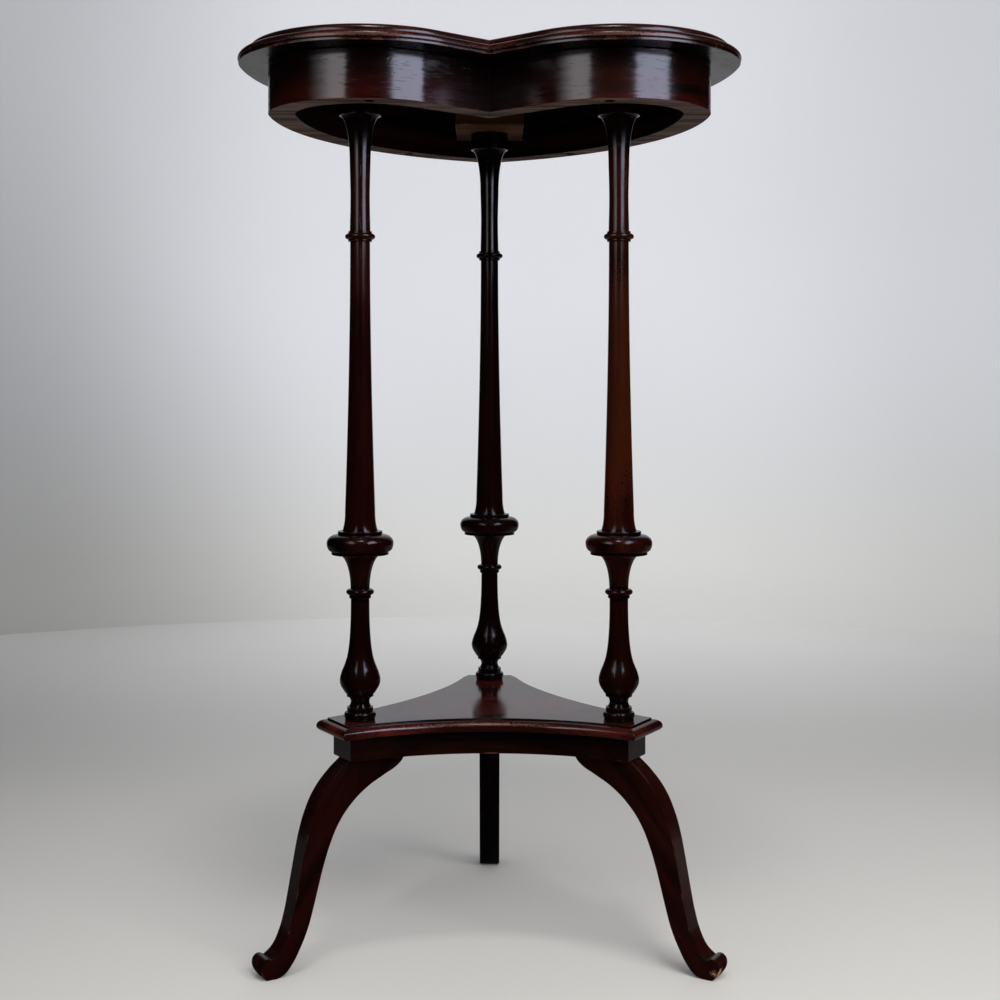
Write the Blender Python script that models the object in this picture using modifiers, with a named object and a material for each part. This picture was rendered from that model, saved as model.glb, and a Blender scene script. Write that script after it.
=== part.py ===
"""Heart-shaped occasional table in mahogany.

A heart-shaped top with a two-tier moulded edge stands over a curved frieze. Three turned
columns carry it over a shelf with three hollow sides and canted corners, and three splayed
legs with rolled toes carry the shelf.

Units are metres, +Z is up and the floor is z = 0. The cusp of the heart faces -Y. Plan sizes
are measured from the axis of the circle that the three columns stand on.
"""

import math

import bmesh
import bpy
from mathutils import Matrix, Vector

# Clearances, and the distance within which points are welded
SEAT_GAP = 0.0003
CUT_OVERRUN = 0.002
MERGE_DISTANCE = 0.00003

# Heights of the stack, floor to top
LEG_HEIGHT = 0.165
BLOCK_THICKNESS = 0.020
BOARD_THICKNESS = 0.010
COLUMN_HEIGHT = 0.508
BEARER_THICKNESS = 0.027
TOP_THICKNESS = 0.015

# Columns and legs stand on three spokes: left front, right front and back
COLUMN_CIRCLE = 0.122
SPOKES = {
    "left": math.radians(-150.0),
    "right": math.radians(-30.0),
    "back": math.radians(90.0),
}

# Heart, as the outer face of the frieze
LOBE_RADIUS = 0.0802
LOBE_OUT = 0.1015
LOBE_FORWARD = 0.0494
CUSP_FORWARD = 0.0685
POINT_BACK = 0.2166
SIDE_RADIUS = 0.287
LOBE_STEPS = 16
SIDE_STEPS = 12

# Frieze
FRIEZE_THICKNESS = 0.022
FRIEZE_HEIGHT = 0.040

# Tabletop edge, from the upper arris outwards and down
TOP_OVERHANG = 0.0247
UPPER_OVOLO_WIDTH = 0.0056
UPPER_OVOLO_HEIGHT = 0.0052
UPPER_FILLET_HEIGHT = 0.0007
STEP_WIDTH = 0.0012
LOWER_OVOLO_WIDTH = 0.0073
LOWER_OVOLO_HEIGHT = 0.0050
NOSE_HEIGHT = 0.0010
QUIRK_DEPTH = 0.0014
QUIRK_HEIGHT = 0.0006
UNDER_FILLET_SET_BACK = 0.0006
OVOLO_STEPS = 4

# Bearer blocks under the top
BEARER_WIDTH = 0.062
FRONT_BEARER_INNER_REACH = 0.028
FRONT_BEARER_TO_FRIEZE = 0.0040
BACK_BEARER_INNER_REACH = 0.053
BACK_BEARER_TO_FRIEZE = 0.0126

# Column tenons, with the wood left above the upper one
TENON_RADIUS = 0.010
TENON_COVER = 0.007
TENON_IN_BLOCK = 0.010
TENON_BORE_SPARE = 0.0008

# Turned column, named from the top down
COLUMN_STEPS = 18
BEAD_STEPS = 4
DISC_STEPS = 6
CAVETTO_STEPS = 5
SHAFT_STEPS = 4
FLARE_STEPS = 2
ABACUS_RADIUS = 0.0171
ABACUS_HEIGHT = 0.0150
CAPITAL_HEIGHT = 0.0380
CAPITAL_RIM_RADIUS = 0.0168
UPPER_SHAFT_TOP_RADIUS = 0.0085
UPPER_SHAFT_WAIST_RADIUS = 0.0079
UPPER_SHAFT_FOOT_RADIUS = 0.0084
UPPER_SHAFT_HEIGHT = 0.0562
RING_FILLET_RADIUS = 0.0097
RING_FILLET_HEIGHT = 0.0018
RING_BEAD_RADIUS = 0.0123
RING_BEAD_HEIGHT = 0.0047
LOWER_SHAFT_TOP_RADIUS = 0.0081
LOWER_SHAFT_FOOT_RADIUS = 0.0123
SHAFT_TAPER_POWER = 1.75
SHAFT_FLARE_RADIUS = 0.0145
SHAFT_FLARE_HEIGHT = 0.0165
SHAFT_FLARE_POWER = 2.5
DISC_TOP_FILLET_RADIUS = 0.0182
DISC_TOP_FILLET_HEIGHT = 0.0029
DISC_SHOULDER_RADIUS = 0.0188
DISC_RADIUS = 0.0273
DISC_HEIGHT = 0.0138
DISC_FOOT_FILLET_RADIUS = 0.0233
DISC_FOOT_FILLET_HEIGHT = 0.0025
TRUMPET_RIM_RADIUS = 0.0180
TRUMPET_FOOT_RADIUS = 0.0078
TRUMPET_HEIGHT = 0.0280
SMALL_BEAD_CORE_RADIUS = 0.0082
SMALL_BEAD_RADIUS = 0.01135
SMALL_BEAD_HEIGHT = 0.0050
SMALL_FILLET_RADIUS = 0.0089
SMALL_FILLET_HEIGHT = 0.0026
VASE_HEIGHT = 0.0772
VASE_RADIUS = 0.0165
BASE_FILLET_RADIUS = 0.0109
BASE_FILLET_HEIGHT = 0.0029
SCOTIA_EDGE_RADIUS = 0.0090
SCOTIA_WAIST_RADIUS = 0.0076
SCOTIA_HEIGHT = 0.0084
COLLAR_RADIUS = 0.0106
COLLAR_HEIGHT = 0.0041
TORUS_CORE_RADIUS = 0.0114
TORUS_RADIUS = 0.0130
TORUS_HEIGHT = 0.0052
PLINTH_RADIUS = 0.0123
PLINTH_HEIGHT = 0.0012

# Shape of the vase: shares of its height down from the top, and of its widest radius
VASE_SHARES = (
    (0.00, 0.458),
    (0.20, 0.468),
    (0.36, 0.500),
    (0.50, 0.555),
    (0.62, 0.650),
    (0.70, 0.770),
    (0.77, 0.905),
    (0.85, 1.000),
    (0.92, 0.955),
    (1.00, 0.730),
)

# Shelf, as the arris of its upper surface; its corners reach past the columns by a margin
SHELF_CORNER_MARGIN = 0.020
SHELF_CORNER_WIDTH = 0.041
FRONT_HOLLOW = 0.033
REAR_HOLLOW = 0.017
HOLLOW_STEPS = 9
BOARD_QUIRK_HEIGHT = 0.0015
BOARD_QUIRK_LEDGE = 0.0008
BOARD_THUMB_WIDTH = 0.0066
BOARD_THUMB_HEIGHT = 0.0052
BOARD_EDGE_HEIGHT = 0.0014
BOARD_UNDERCUT = 0.0018
BLOCK_SET_BACK = 0.004

# Legs: the seat ends a little inside the block's canted corner, and the toe spreads past it
LEG_THICKNESS = 0.019
SEAT_LENGTH = 0.0495
SEAT_SET_BACK = 0.002
TOE_SPREAD = 0.0765
LEG_CURVE_STEPS = 3

# Leg outline: shares of the way from the seat's inner end to the toe, and of the leg's height.
# A corner point is marked 1, and a smooth point is marked 0.
LEG_BACK_SHARES = (
    (0.483, 0.941, 0),
    (0.578, 0.855, 0),
    (0.640, 0.760, 0),
    (0.682, 0.660, 0),
    (0.709, 0.565, 0),
    (0.733, 0.470, 0),
    (0.758, 0.370, 0),
    (0.785, 0.275, 0),
    (0.821, 0.190, 0),
    (0.866, 0.128, 0),
    (0.921, 0.093, 1),
)
LEG_TOE_SHARES = (
    (0.955, 0.104, 0),
    (0.988, 0.092, 0),
    (1.000, 0.068, 0),
    (0.990, 0.035, 0),
    (0.958, 0.000, 1),
    (0.890, 0.000, 1),
)
LEG_FRONT_SHARES = (
    (0.838, 0.015, 0),
    (0.789, 0.054, 0),
    (0.735, 0.122, 0),
    (0.680, 0.215, 0),
    (0.640, 0.315, 0),
    (0.605, 0.415, 0),
    (0.570, 0.510, 0),
    (0.527, 0.605, 0),
    (0.474, 0.692, 0),
    (0.395, 0.775, 0),
    (0.270, 0.858, 0),
    (0.140, 0.912, 0),
    (0.050, 0.948, 0),
    (0.004, 0.985, 0),
)

# Dowels between each leg and the block, placed by shares of the seat's length
DOWEL_RADIUS = 0.004
DOWEL_IN_LEG = 0.012
DOWEL_TO_TENON = 0.002
DOWEL_SEAT_SHARES = (0.35, 0.80)

# Wood screws up through the frieze into the top, with the wood left over their tips
FRIEZE_SCREW_COVER = 0.006
FRIEZE_SCREW_BORE_DEPTH = 0.020
FRIEZE_BORE_RADIUS = 0.0045
FRIEZE_SCREW_LOBE_SHARE = 0.26
FRIEZE_SCREW_SIDE_SHARE = 0.72

# Wood screws up through the block into the board, inwards of each leg's seat
SHELF_SCREW_COVER = 0.004
SHELF_SCREW_FROM_SEAT = 0.0165
SHELF_SCREW_SPREAD = 0.015

# Both kinds of screw
SCREW_HEAD_RADIUS = 0.0038
SCREW_HEAD_HEIGHT = 0.0022
SCREW_SHANK_RADIUS = 0.0019
SCREW_STEPS = 8

# Edges that turn by more than this stay sharp
SHARP_EDGE_ANGLE = math.radians(32.0)

# A canted corner of the shelf lies this far round from the middle of each side
CORNER_SPREAD = math.radians(60.0)

# Material colours, linear red, green and blue
MAHOGANY = (0.085, 0.018, 0.010)
DARK_MAHOGANY = (0.045, 0.010, 0.007)
BEARER_WOOD = (0.420, 0.230, 0.110)
DOWEL_WOOD = (0.500, 0.360, 0.200)
STEEL = (0.300, 0.290, 0.280)

# Heights worked out from the stack
BLOCK_BOTTOM = LEG_HEIGHT
BLOCK_TOP = BLOCK_BOTTOM + BLOCK_THICKNESS
BOARD_TOP = BLOCK_TOP + BOARD_THICKNESS
BEARER_BOTTOM = BOARD_TOP + COLUMN_HEIGHT
TOP_BOTTOM = BEARER_BOTTOM + BEARER_THICKNESS
TABLE_HEIGHT = TOP_BOTTOM + TOP_THICKNESS
FRIEZE_TOP = TOP_BOTTOM - SEAT_GAP
FRIEZE_BOTTOM = FRIEZE_TOP - FRIEZE_HEIGHT

# Reaches worked out from the shelf's corner
SHELF_CORNER_REACH = COLUMN_CIRCLE + SHELF_CORNER_MARGIN
SEAT_OUTER_REACH = SHELF_CORNER_REACH - BLOCK_SET_BACK - SEAT_SET_BACK
SEAT_INNER_REACH = SEAT_OUTER_REACH - SEAT_LENGTH
TOE_REACH = SEAT_OUTER_REACH + TOE_SPREAD
SHELF_SCREW_REACH = SEAT_INNER_REACH - SHELF_SCREW_FROM_SEAT
DOWEL_REACHES = [SEAT_INNER_REACH + SEAT_LENGTH * share for share in DOWEL_SEAT_SHARES]

# Lengths worked out from what each piece passes through
TOP_TENON_LENGTH = BEARER_THICKNESS - TENON_COVER
FOOT_TENON_LENGTH = BOARD_THICKNESS + TENON_IN_BLOCK
DOWEL_IN_BLOCK = BLOCK_THICKNESS - TENON_IN_BLOCK - DOWEL_TO_TENON
DOWEL_LENGTH = DOWEL_IN_LEG + DOWEL_IN_BLOCK
FRIEZE_SCREW_HEAD = FRIEZE_BOTTOM + FRIEZE_SCREW_BORE_DEPTH
FRIEZE_SCREW_LENGTH = TABLE_HEIGHT - FRIEZE_SCREW_COVER - FRIEZE_SCREW_HEAD
SHELF_SCREW_LENGTH = BLOCK_THICKNESS + BOARD_THICKNESS - SHELF_SCREW_COVER


def clear_scene():
    """Remove every object that the scene starts with."""
    for item in list(bpy.data.objects):
        bpy.data.objects.remove(item, do_unlink=True)


def new_collection(name):
    """Return a new collection linked to the scene."""
    collection = bpy.data.collections.new(name)
    bpy.context.scene.collection.children.link(collection)
    return collection


def new_material(name, colour, roughness, metallic=0.0):
    """Return a Principled material."""
    material = bpy.data.materials.new(name)
    material.use_nodes = True
    shader = material.node_tree.nodes["Principled BSDF"]
    shader.inputs["Base Color"].default_value = (*colour, 1.0)
    shader.inputs["Roughness"].default_value = roughness
    shader.inputs["Metallic"].default_value = metallic
    return material


def link_part(name, mesh, material):
    """Make the named part from a mesh, in the table's collection and on its axis."""
    part = bpy.data.objects.new(name, mesh)
    part.data.materials.clear()
    part.data.materials.append(material)
    parts.objects.link(part)
    part.parent = table_axis
    return part


def shade_round(mesh):
    """Shade a mesh smooth, with its arrises kept sharp."""
    mesh.shade_smooth()
    mesh.set_sharp_from_angle(angle=SHARP_EDGE_ANGLE)


def evaluated_mesh(source):
    """Return the mesh that an object shows, and remove the object."""
    bpy.context.view_layer.update()
    depsgraph = bpy.context.evaluated_depsgraph_get()
    mesh = bpy.data.meshes.new_from_object(source.evaluated_get(depsgraph))
    bpy.data.objects.remove(source, do_unlink=True)
    return mesh


def weld(mesh):
    """Join the loose caps of a filled curve to its sides."""
    work = bmesh.new()
    work.from_mesh(mesh)
    bmesh.ops.remove_doubles(work, verts=work.verts, dist=MERGE_DISTANCE)
    bmesh.ops.recalc_face_normals(work, faces=work.faces)
    work.to_mesh(mesh)
    work.free()
    return mesh


def plate_mesh(name, outline, bottom, thickness):
    """Return a flat plate whose plan is a closed list of points."""
    curve = bpy.data.curves.new(name, "CURVE")
    curve.dimensions = "2D"
    curve.fill_mode = "BOTH"
    curve.extrude = thickness / 2.0
    spline = curve.splines.new("POLY")
    spline.points.add(len(outline) - 1)
    for point, place in zip(spline.points, outline):
        point.co = (place.x, place.y, 0.0, 1.0)
    spline.use_cyclic_u = True
    source = bpy.data.objects.new(name + "_curve", curve)
    parts.objects.link(source)
    mesh = weld(evaluated_mesh(source))
    mesh.transform(Matrix.Translation((0.0, 0.0, bottom + thickness / 2.0)))
    return mesh


def moulded_mesh(name, outline_at, profile, top):
    """Return a board whose edge runs a moulding round an outline.

    outline_at(offset) gives the outline at an offset, and profile is a list of
    (offset, drop below the top) from the upper arris down to the underside.
    """
    work = bmesh.new()
    rings = []
    for offset, drop in profile:
        rings.append([work.verts.new((p.x, p.y, top - drop)) for p in outline_at(offset)])
    work.faces.new(rings[0])
    for upper, lower in zip(rings, rings[1:]):
        for i in range(len(upper)):
            work.faces.new((upper[i - 1], lower[i - 1], lower[i], upper[i]))
    work.faces.new(list(reversed(rings[-1])))
    mesh = bpy.data.meshes.new(name)
    work.to_mesh(mesh)
    work.free()
    return mesh


def profile_mesh(name, profile):
    """Return the half profile of a turned piece, from its top down, as (radius, height)."""
    mesh = bpy.data.meshes.new(name)
    corners = [(radius, 0.0, height) for radius, height in profile]
    edges = [(i, i + 1) for i in range(len(corners) - 1)]
    mesh.from_pydata(corners, edges, [])
    return mesh


def add_turning(part, steps):
    """Turn a half profile round the object's Z axis."""
    screw = part.modifiers.new("Turning", "SCREW")
    screw.axis = "Z"
    screw.angle = math.tau
    screw.steps = steps
    screw.render_steps = steps
    screw.use_merge_vertices = True
    screw.merge_threshold = MERGE_DISTANCE
    screw.use_smooth_shade = True


def turned_mesh(name, profile, steps):
    """Return a turned solid as a plain mesh."""
    source = bpy.data.objects.new(name, profile_mesh(name, profile))
    parts.objects.link(source)
    add_turning(source, steps)
    return evaluated_mesh(source)


def group_mesh(name, unit, places):
    """Return one mesh with a copy of unit at each place, as separate solids."""
    work = bmesh.new()
    for place in places:
        copy = unit.copy()
        copy.transform(Matrix.Translation(place))
        work.from_mesh(copy)
        bpy.data.meshes.remove(copy)
    mesh = bpy.data.meshes.new(name)
    work.to_mesh(mesh)
    work.free()
    return mesh


def cut(part, cutter_mesh):
    """Cut a part with a mesh that is kept as a hidden cutter."""
    cutter = bpy.data.objects.new(part.name + "_cutter", cutter_mesh)
    cutter.parent = part.parent
    cutter.hide_render = True
    cutter.display_type = "WIRE"
    cutters.objects.link(cutter)
    boolean = part.modifiers.new("Cut", "BOOLEAN")
    boolean.operation = "DIFFERENCE"
    boolean.solver = "EXACT"
    boolean.object = cutter


def rod_profile(radius, bottom, top):
    """Return the half profile of a plain rod."""
    return [(0.0, top), (radius, top), (radius, bottom), (0.0, bottom)]


def on_spoke(spoke, reach, across=0.0, height=0.0):
    """Return a place at a reach along a spoke and a distance across it."""
    angle = SPOKES[spoke]
    along = Vector((math.cos(angle), math.sin(angle), 0.0))
    sideways = Vector((-math.sin(angle), math.cos(angle), 0.0))
    return along * reach + sideways * across + Vector((0.0, 0.0, height))


def arc(centre, radius, start, end, steps):
    """Return steps + 1 points on an arc."""
    points = []
    for step in range(steps + 1):
        angle = start + (end - start) * step / steps
        points.append(centre + radius * Vector((math.cos(angle), math.sin(angle))))
    return points


class Heart:
    """The heart outline: a straight run from the cusp, a lobe arc and a side arc, each half."""

    def __init__(self):
        self.lobe = Vector((LOBE_OUT, -LOBE_FORWARD))
        self.cusp = Vector((0.0, -CUSP_FORWARD))
        back_point = Vector((0.0, POINT_BACK))
        to_lobe = self.lobe - self.cusp
        run_angle = math.atan2(to_lobe.y, to_lobe.x) - math.asin(LOBE_RADIUS / to_lobe.length)
        self.run = Vector((math.cos(run_angle), math.sin(run_angle)))
        self.run_normal = Vector((self.run.y, -self.run.x))
        self.side = self.side_centre(back_point)
        self.lobe_start = math.atan2(self.run_normal.y, self.run_normal.x)
        from_side = self.lobe - self.side
        self.lobe_end = math.atan2(from_side.y, from_side.x)

    def side_centre(self, back_point):
        """Return the centre of the side arc, tangent to the lobe and through the back point."""
        span = back_point - self.lobe
        inner = SIDE_RADIUS - LOBE_RADIUS
        along = (inner**2 - SIDE_RADIUS**2 + span.length_squared) / (2.0 * span.length)
        across = math.sqrt(inner**2 - along**2)
        direction = span.normalized()
        return self.lobe + direction * along + across * Vector((-direction.y, direction.x))

    def side_end(self, offset):
        """Return the angle on the side arc at which it meets the centre line."""
        return math.acos(-self.side.x / (SIDE_RADIUS + offset))

    def half(self, offset):
        """Return the right half at an offset from the frieze's face, cusp to back point."""
        slide = -self.run_normal.x * offset / self.run.x
        cusp = self.cusp + self.run_normal * offset + self.run * slide
        cusp.x = 0.0
        lobe_radius = LOBE_RADIUS + offset
        lobe = arc(self.lobe, lobe_radius, self.lobe_start, self.lobe_end, LOBE_STEPS)
        side_radius = SIDE_RADIUS + offset
        side = arc(self.side, side_radius, self.lobe_end, self.side_end(offset), SIDE_STEPS)
        side[-1].x = 0.0
        return [cusp] + lobe + side[1:]

    def whole(self, offset):
        """Return the closed outline at an offset, counter-clockwise from the cusp."""
        right = self.half(offset)
        left = [Vector((-p.x, p.y)) for p in reversed(right[1:-1])]
        return right + left

    def on_lobe(self, share, offset):
        """Return a place on the lobe arc of the right half."""
        angle = self.lobe_start + (self.lobe_end - self.lobe_start) * share
        return self.lobe + (LOBE_RADIUS + offset) * Vector((math.cos(angle), math.sin(angle)))

    def on_side(self, share, offset):
        """Return a place on the side arc of the right half."""
        angle = self.lobe_end + (self.side_end(offset) - self.lobe_end) * share
        return self.side + (SIDE_RADIUS + offset) * Vector((math.cos(angle), math.sin(angle)))


def reach_in_circle(spoke, half_width, centre, radius):
    """Return how far a bar on a spoke can reach before a corner of its end meets a circle."""
    along = on_spoke(spoke, 1.0).to_2d()
    aside = abs(centre.dot(along.orthogonal()))
    return centre.dot(along) + math.sqrt(radius**2 - (half_width + aside)**2)


def shelf_side(facing, hollow, offset):
    """Return one hollow side of the shelf at an offset from its upper arris.

    facing is the angle that the side faces, and a canted corner lies either way of it.
    """
    half_turn = CORNER_SPREAD
    half_width = SHELF_CORNER_WIDTH / 2.0
    end_out = SHELF_CORNER_REACH * math.cos(half_turn) + half_width * math.sin(half_turn)
    end_along = SHELF_CORNER_REACH * math.sin(half_turn) - half_width * math.cos(half_turn)
    radius = (end_along**2 + hollow**2) / (2.0 * hollow)
    centre_out = end_out - hollow + radius
    # In the side's own frame x runs along it and y points out. The canted edge's line lies
    # at the corner's reach, and the offset circle about (0, centre_out) cuts it.
    reach = SHELF_CORNER_REACH + offset
    normal = Vector((math.sin(half_turn), math.cos(half_turn)))
    foot = normal * reach
    along = Vector((-normal.y, normal.x))
    to_foot = foot - Vector((0.0, centre_out))
    b = to_foot.dot(along)
    c = to_foot.length_squared - (radius - offset)**2
    end = foot + along * (-b - math.sqrt(b * b - c))
    if end.y > centre_out:
        end = foot + along * (-b + math.sqrt(b * b - c))
    swing = math.atan2(end.x, centre_out - end.y)
    points = []
    for step in range(HOLLOW_STEPS + 1):
        angle = -swing + 2.0 * swing * step / HOLLOW_STEPS
        out = centre_out - (radius - offset) * math.cos(angle)
        side = (radius - offset) * math.sin(angle)
        points.append(Vector((
            out * math.cos(facing) - side * math.sin(facing),
            out * math.sin(facing) + side * math.cos(facing),
        )))
    return points


def shelf_outline(offset):
    """Return the shelf's closed outline at an offset from its upper arris."""
    points = shelf_side(SPOKES["left"] + CORNER_SPREAD, FRONT_HOLLOW, offset)
    points += shelf_side(SPOKES["right"] + CORNER_SPREAD, REAR_HOLLOW, offset)
    points += shelf_side(SPOKES["back"] + CORNER_SPREAD, REAR_HOLLOW, offset)
    return points


def ovolo(offset, drop, width, height):
    """Return a convex quarter that starts flat and ends upright, going outwards and down."""
    points = []
    for step in range(1, OVOLO_STEPS + 1):
        angle = math.radians(90.0) * step / OVOLO_STEPS
        points.append((
            offset + width * math.sin(angle),
            drop + height * (1.0 - math.cos(angle)),
        ))
    return points


def tabletop_profile():
    """Return the tabletop's edge as (offset from the frieze's face, drop)."""
    width = UPPER_OVOLO_WIDTH + STEP_WIDTH + LOWER_OVOLO_WIDTH
    start = TOP_OVERHANG - width
    points = [(start, 0.0)]
    points += ovolo(start, 0.0, UPPER_OVOLO_WIDTH, UPPER_OVOLO_HEIGHT)
    offset = start + UPPER_OVOLO_WIDTH
    drop = UPPER_OVOLO_HEIGHT + UPPER_FILLET_HEIGHT
    points.append((offset, drop))
    offset += STEP_WIDTH
    points.append((offset, drop))
    points += ovolo(offset, drop, LOWER_OVOLO_WIDTH, LOWER_OVOLO_HEIGHT)
    drop += LOWER_OVOLO_HEIGHT + NOSE_HEIGHT
    points.append((TOP_OVERHANG, drop))
    drop += QUIRK_HEIGHT
    points.append((TOP_OVERHANG - QUIRK_DEPTH, drop))
    drop += QUIRK_HEIGHT
    points.append((TOP_OVERHANG - UNDER_FILLET_SET_BACK, drop))
    points.append((TOP_OVERHANG - UNDER_FILLET_SET_BACK, TOP_THICKNESS))
    return points


def board_profile():
    """Return the shelf board's edge as (offset from its upper arris, drop)."""
    points = [(0.0, 0.0), (0.0, BOARD_QUIRK_HEIGHT), (BOARD_QUIRK_LEDGE, BOARD_QUIRK_HEIGHT)]
    points += ovolo(
        BOARD_QUIRK_LEDGE, BOARD_QUIRK_HEIGHT, BOARD_THUMB_WIDTH, BOARD_THUMB_HEIGHT
    )
    edge = BOARD_QUIRK_LEDGE + BOARD_THUMB_WIDTH
    points.append((edge, BOARD_QUIRK_HEIGHT + BOARD_THUMB_HEIGHT + BOARD_EDGE_HEIGHT))
    points.append((edge - BOARD_UNDERCUT, BOARD_THICKNESS))
    return points


class TurnedProfile:
    """Half profile of a turning, built member by member from the top down."""

    def __init__(self, top, tenon_radius, tenon_length):
        self.height = top
        self.points = [(0.0, top + tenon_length), (tenon_radius, top + tenon_length)]
        self.points.append((tenon_radius, top))

    def add(self, radius, drop=0.0):
        """Add one point, a drop below the last."""
        self.height -= drop
        self.points.append((radius, self.height))

    def fillet(self, radius, height):
        """Add a short upright band."""
        self.add(radius)
        self.add(radius, height)

    def bead(self, top_radius, belly, foot_radius, height, steps=BEAD_STEPS):
        """Add a rounded bead that swells to its belly half way down."""
        start = self.height
        for step in range(steps + 1):
            angle = math.pi * step / steps
            core = top_radius if step <= steps / 2 else foot_radius
            radius = core + (belly - core) * math.sin(angle)
            drop = height * (1.0 - math.cos(angle)) / 2.0
            self.points.append((radius, start - drop))
        self.height = start - height

    def cavetto(self, rim, neck, height, steps=CAVETTO_STEPS):
        """Add a hollow quarter that sweeps in from a rim and ends upright at a neck."""
        start = self.height
        for step in range(steps + 1):
            angle = math.radians(90.0) * step / steps
            radius = neck + (rim - neck) * (1.0 - math.sin(angle))
            self.points.append((radius, start - height * (1.0 - math.cos(angle))))
        self.height = start - height

    def taper(self, top_radius, foot_radius, height, power, steps):
        """Add a shaft whose radius changes with a power of the way down."""
        start = self.height
        for step in range(steps + 1):
            way = step / steps
            radius = top_radius + (foot_radius - top_radius) * way**power
            self.points.append((radius, start - height * way))
        self.height = start - height

    def shaped(self, shares, radius, height):
        """Add a form given as shares of its height and of its widest radius."""
        start = self.height
        for way, width in shares:
            self.points.append((radius * width, start - height * way))
        self.height = start - height

    def finish(self, tenon_radius, tenon_length):
        """Add the foot tenon, and return the points without doubles."""
        self.add(tenon_radius)
        self.add(tenon_radius, tenon_length)
        self.add(0.0)
        tidy = [self.points[0]]
        for point in self.points[1:]:
            if math.dist(point, tidy[-1]) > MERGE_DISTANCE:
                tidy.append(point)
        return tidy


def column_profile():
    """Return the column's half profile, with its foot on z = 0."""
    turning = TurnedProfile(COLUMN_HEIGHT - 2.0 * SEAT_GAP, TENON_RADIUS, TOP_TENON_LENGTH)
    turning.fillet(ABACUS_RADIUS, ABACUS_HEIGHT)
    turning.cavetto(CAPITAL_RIM_RADIUS, UPPER_SHAFT_TOP_RADIUS, CAPITAL_HEIGHT)
    half_shaft = UPPER_SHAFT_HEIGHT / 2.0
    turning.add(UPPER_SHAFT_WAIST_RADIUS, half_shaft)
    turning.add(UPPER_SHAFT_FOOT_RADIUS, half_shaft)
    turning.fillet(RING_FILLET_RADIUS, RING_FILLET_HEIGHT)
    turning.bead(RING_FILLET_RADIUS, RING_BEAD_RADIUS, RING_FILLET_RADIUS, RING_BEAD_HEIGHT)
    turning.fillet(RING_FILLET_RADIUS, RING_FILLET_HEIGHT)
    below = (
        SHAFT_FLARE_HEIGHT + DISC_TOP_FILLET_HEIGHT + DISC_HEIGHT + DISC_FOOT_FILLET_HEIGHT
        + TRUMPET_HEIGHT + SMALL_BEAD_HEIGHT + SMALL_FILLET_HEIGHT + VASE_HEIGHT
        + BASE_FILLET_HEIGHT + SCOTIA_HEIGHT + COLLAR_HEIGHT + TORUS_HEIGHT + PLINTH_HEIGHT
    )
    shaft = turning.height - below
    turning.taper(
        LOWER_SHAFT_TOP_RADIUS, LOWER_SHAFT_FOOT_RADIUS, shaft, SHAFT_TAPER_POWER, SHAFT_STEPS
    )
    turning.taper(
        LOWER_SHAFT_FOOT_RADIUS, SHAFT_FLARE_RADIUS, SHAFT_FLARE_HEIGHT,
        SHAFT_FLARE_POWER, FLARE_STEPS,
    )
    turning.fillet(DISC_TOP_FILLET_RADIUS, DISC_TOP_FILLET_HEIGHT)
    turning.bead(
        DISC_SHOULDER_RADIUS, DISC_RADIUS, DISC_FOOT_FILLET_RADIUS, DISC_HEIGHT, DISC_STEPS
    )
    turning.fillet(DISC_FOOT_FILLET_RADIUS, DISC_FOOT_FILLET_HEIGHT)
    turning.cavetto(TRUMPET_RIM_RADIUS, TRUMPET_FOOT_RADIUS, TRUMPET_HEIGHT)
    turning.bead(
        SMALL_BEAD_CORE_RADIUS, SMALL_BEAD_RADIUS, SMALL_BEAD_CORE_RADIUS, SMALL_BEAD_HEIGHT
    )
    turning.fillet(SMALL_FILLET_RADIUS, SMALL_FILLET_HEIGHT)
    turning.shaped(VASE_SHARES, VASE_RADIUS, VASE_HEIGHT)
    turning.fillet(BASE_FILLET_RADIUS, BASE_FILLET_HEIGHT)
    turning.add(SCOTIA_EDGE_RADIUS)
    turning.add(SCOTIA_WAIST_RADIUS, SCOTIA_HEIGHT / 2.0)
    turning.add(SCOTIA_EDGE_RADIUS, SCOTIA_HEIGHT / 2.0)
    turning.fillet(COLLAR_RADIUS, COLLAR_HEIGHT)
    turning.bead(TORUS_CORE_RADIUS, TORUS_RADIUS, TORUS_CORE_RADIUS, TORUS_HEIGHT)
    turning.fillet(PLINTH_RADIUS, PLINTH_HEIGHT)
    return turning.finish(TENON_RADIUS, FOOT_TENON_LENGTH)


def screw_profile(length, clearance=0.0, mouth=0.0, mouth_radius=SCREW_HEAD_RADIUS):
    """Return a screw's half profile, head at the bottom and its face on z = 0.

    With a clearance it is the hole for that screw. A mouth carries the hole on below the
    head, at the mouth's radius.
    """
    tip = length + clearance
    shank = SCREW_SHANK_RADIUS + clearance
    shoulder = SCREW_HEAD_HEIGHT + clearance
    points = [(0.0, tip), (shank, tip), (shank, shoulder)]
    if mouth > 0.0:
        points += [(mouth_radius, shoulder), (mouth_radius, -mouth), (0.0, -mouth)]
    else:
        points += [(SCREW_HEAD_RADIUS, shoulder), (SCREW_HEAD_RADIUS, 0.0), (0.0, 0.0)]
    return points


def frieze_screw_places():
    """Return the places of the frieze screws' heads, two in each half."""
    middle = -FRIEZE_THICKNESS / 2.0
    right = [
        heart.on_lobe(FRIEZE_SCREW_LOBE_SHARE, middle),
        heart.on_side(FRIEZE_SCREW_SIDE_SHARE, middle),
    ]
    return {
        "left": [Vector((-p.x, p.y, FRIEZE_SCREW_HEAD)) for p in right],
        "right": [Vector((p.x, p.y, FRIEZE_SCREW_HEAD)) for p in right],
    }


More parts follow.
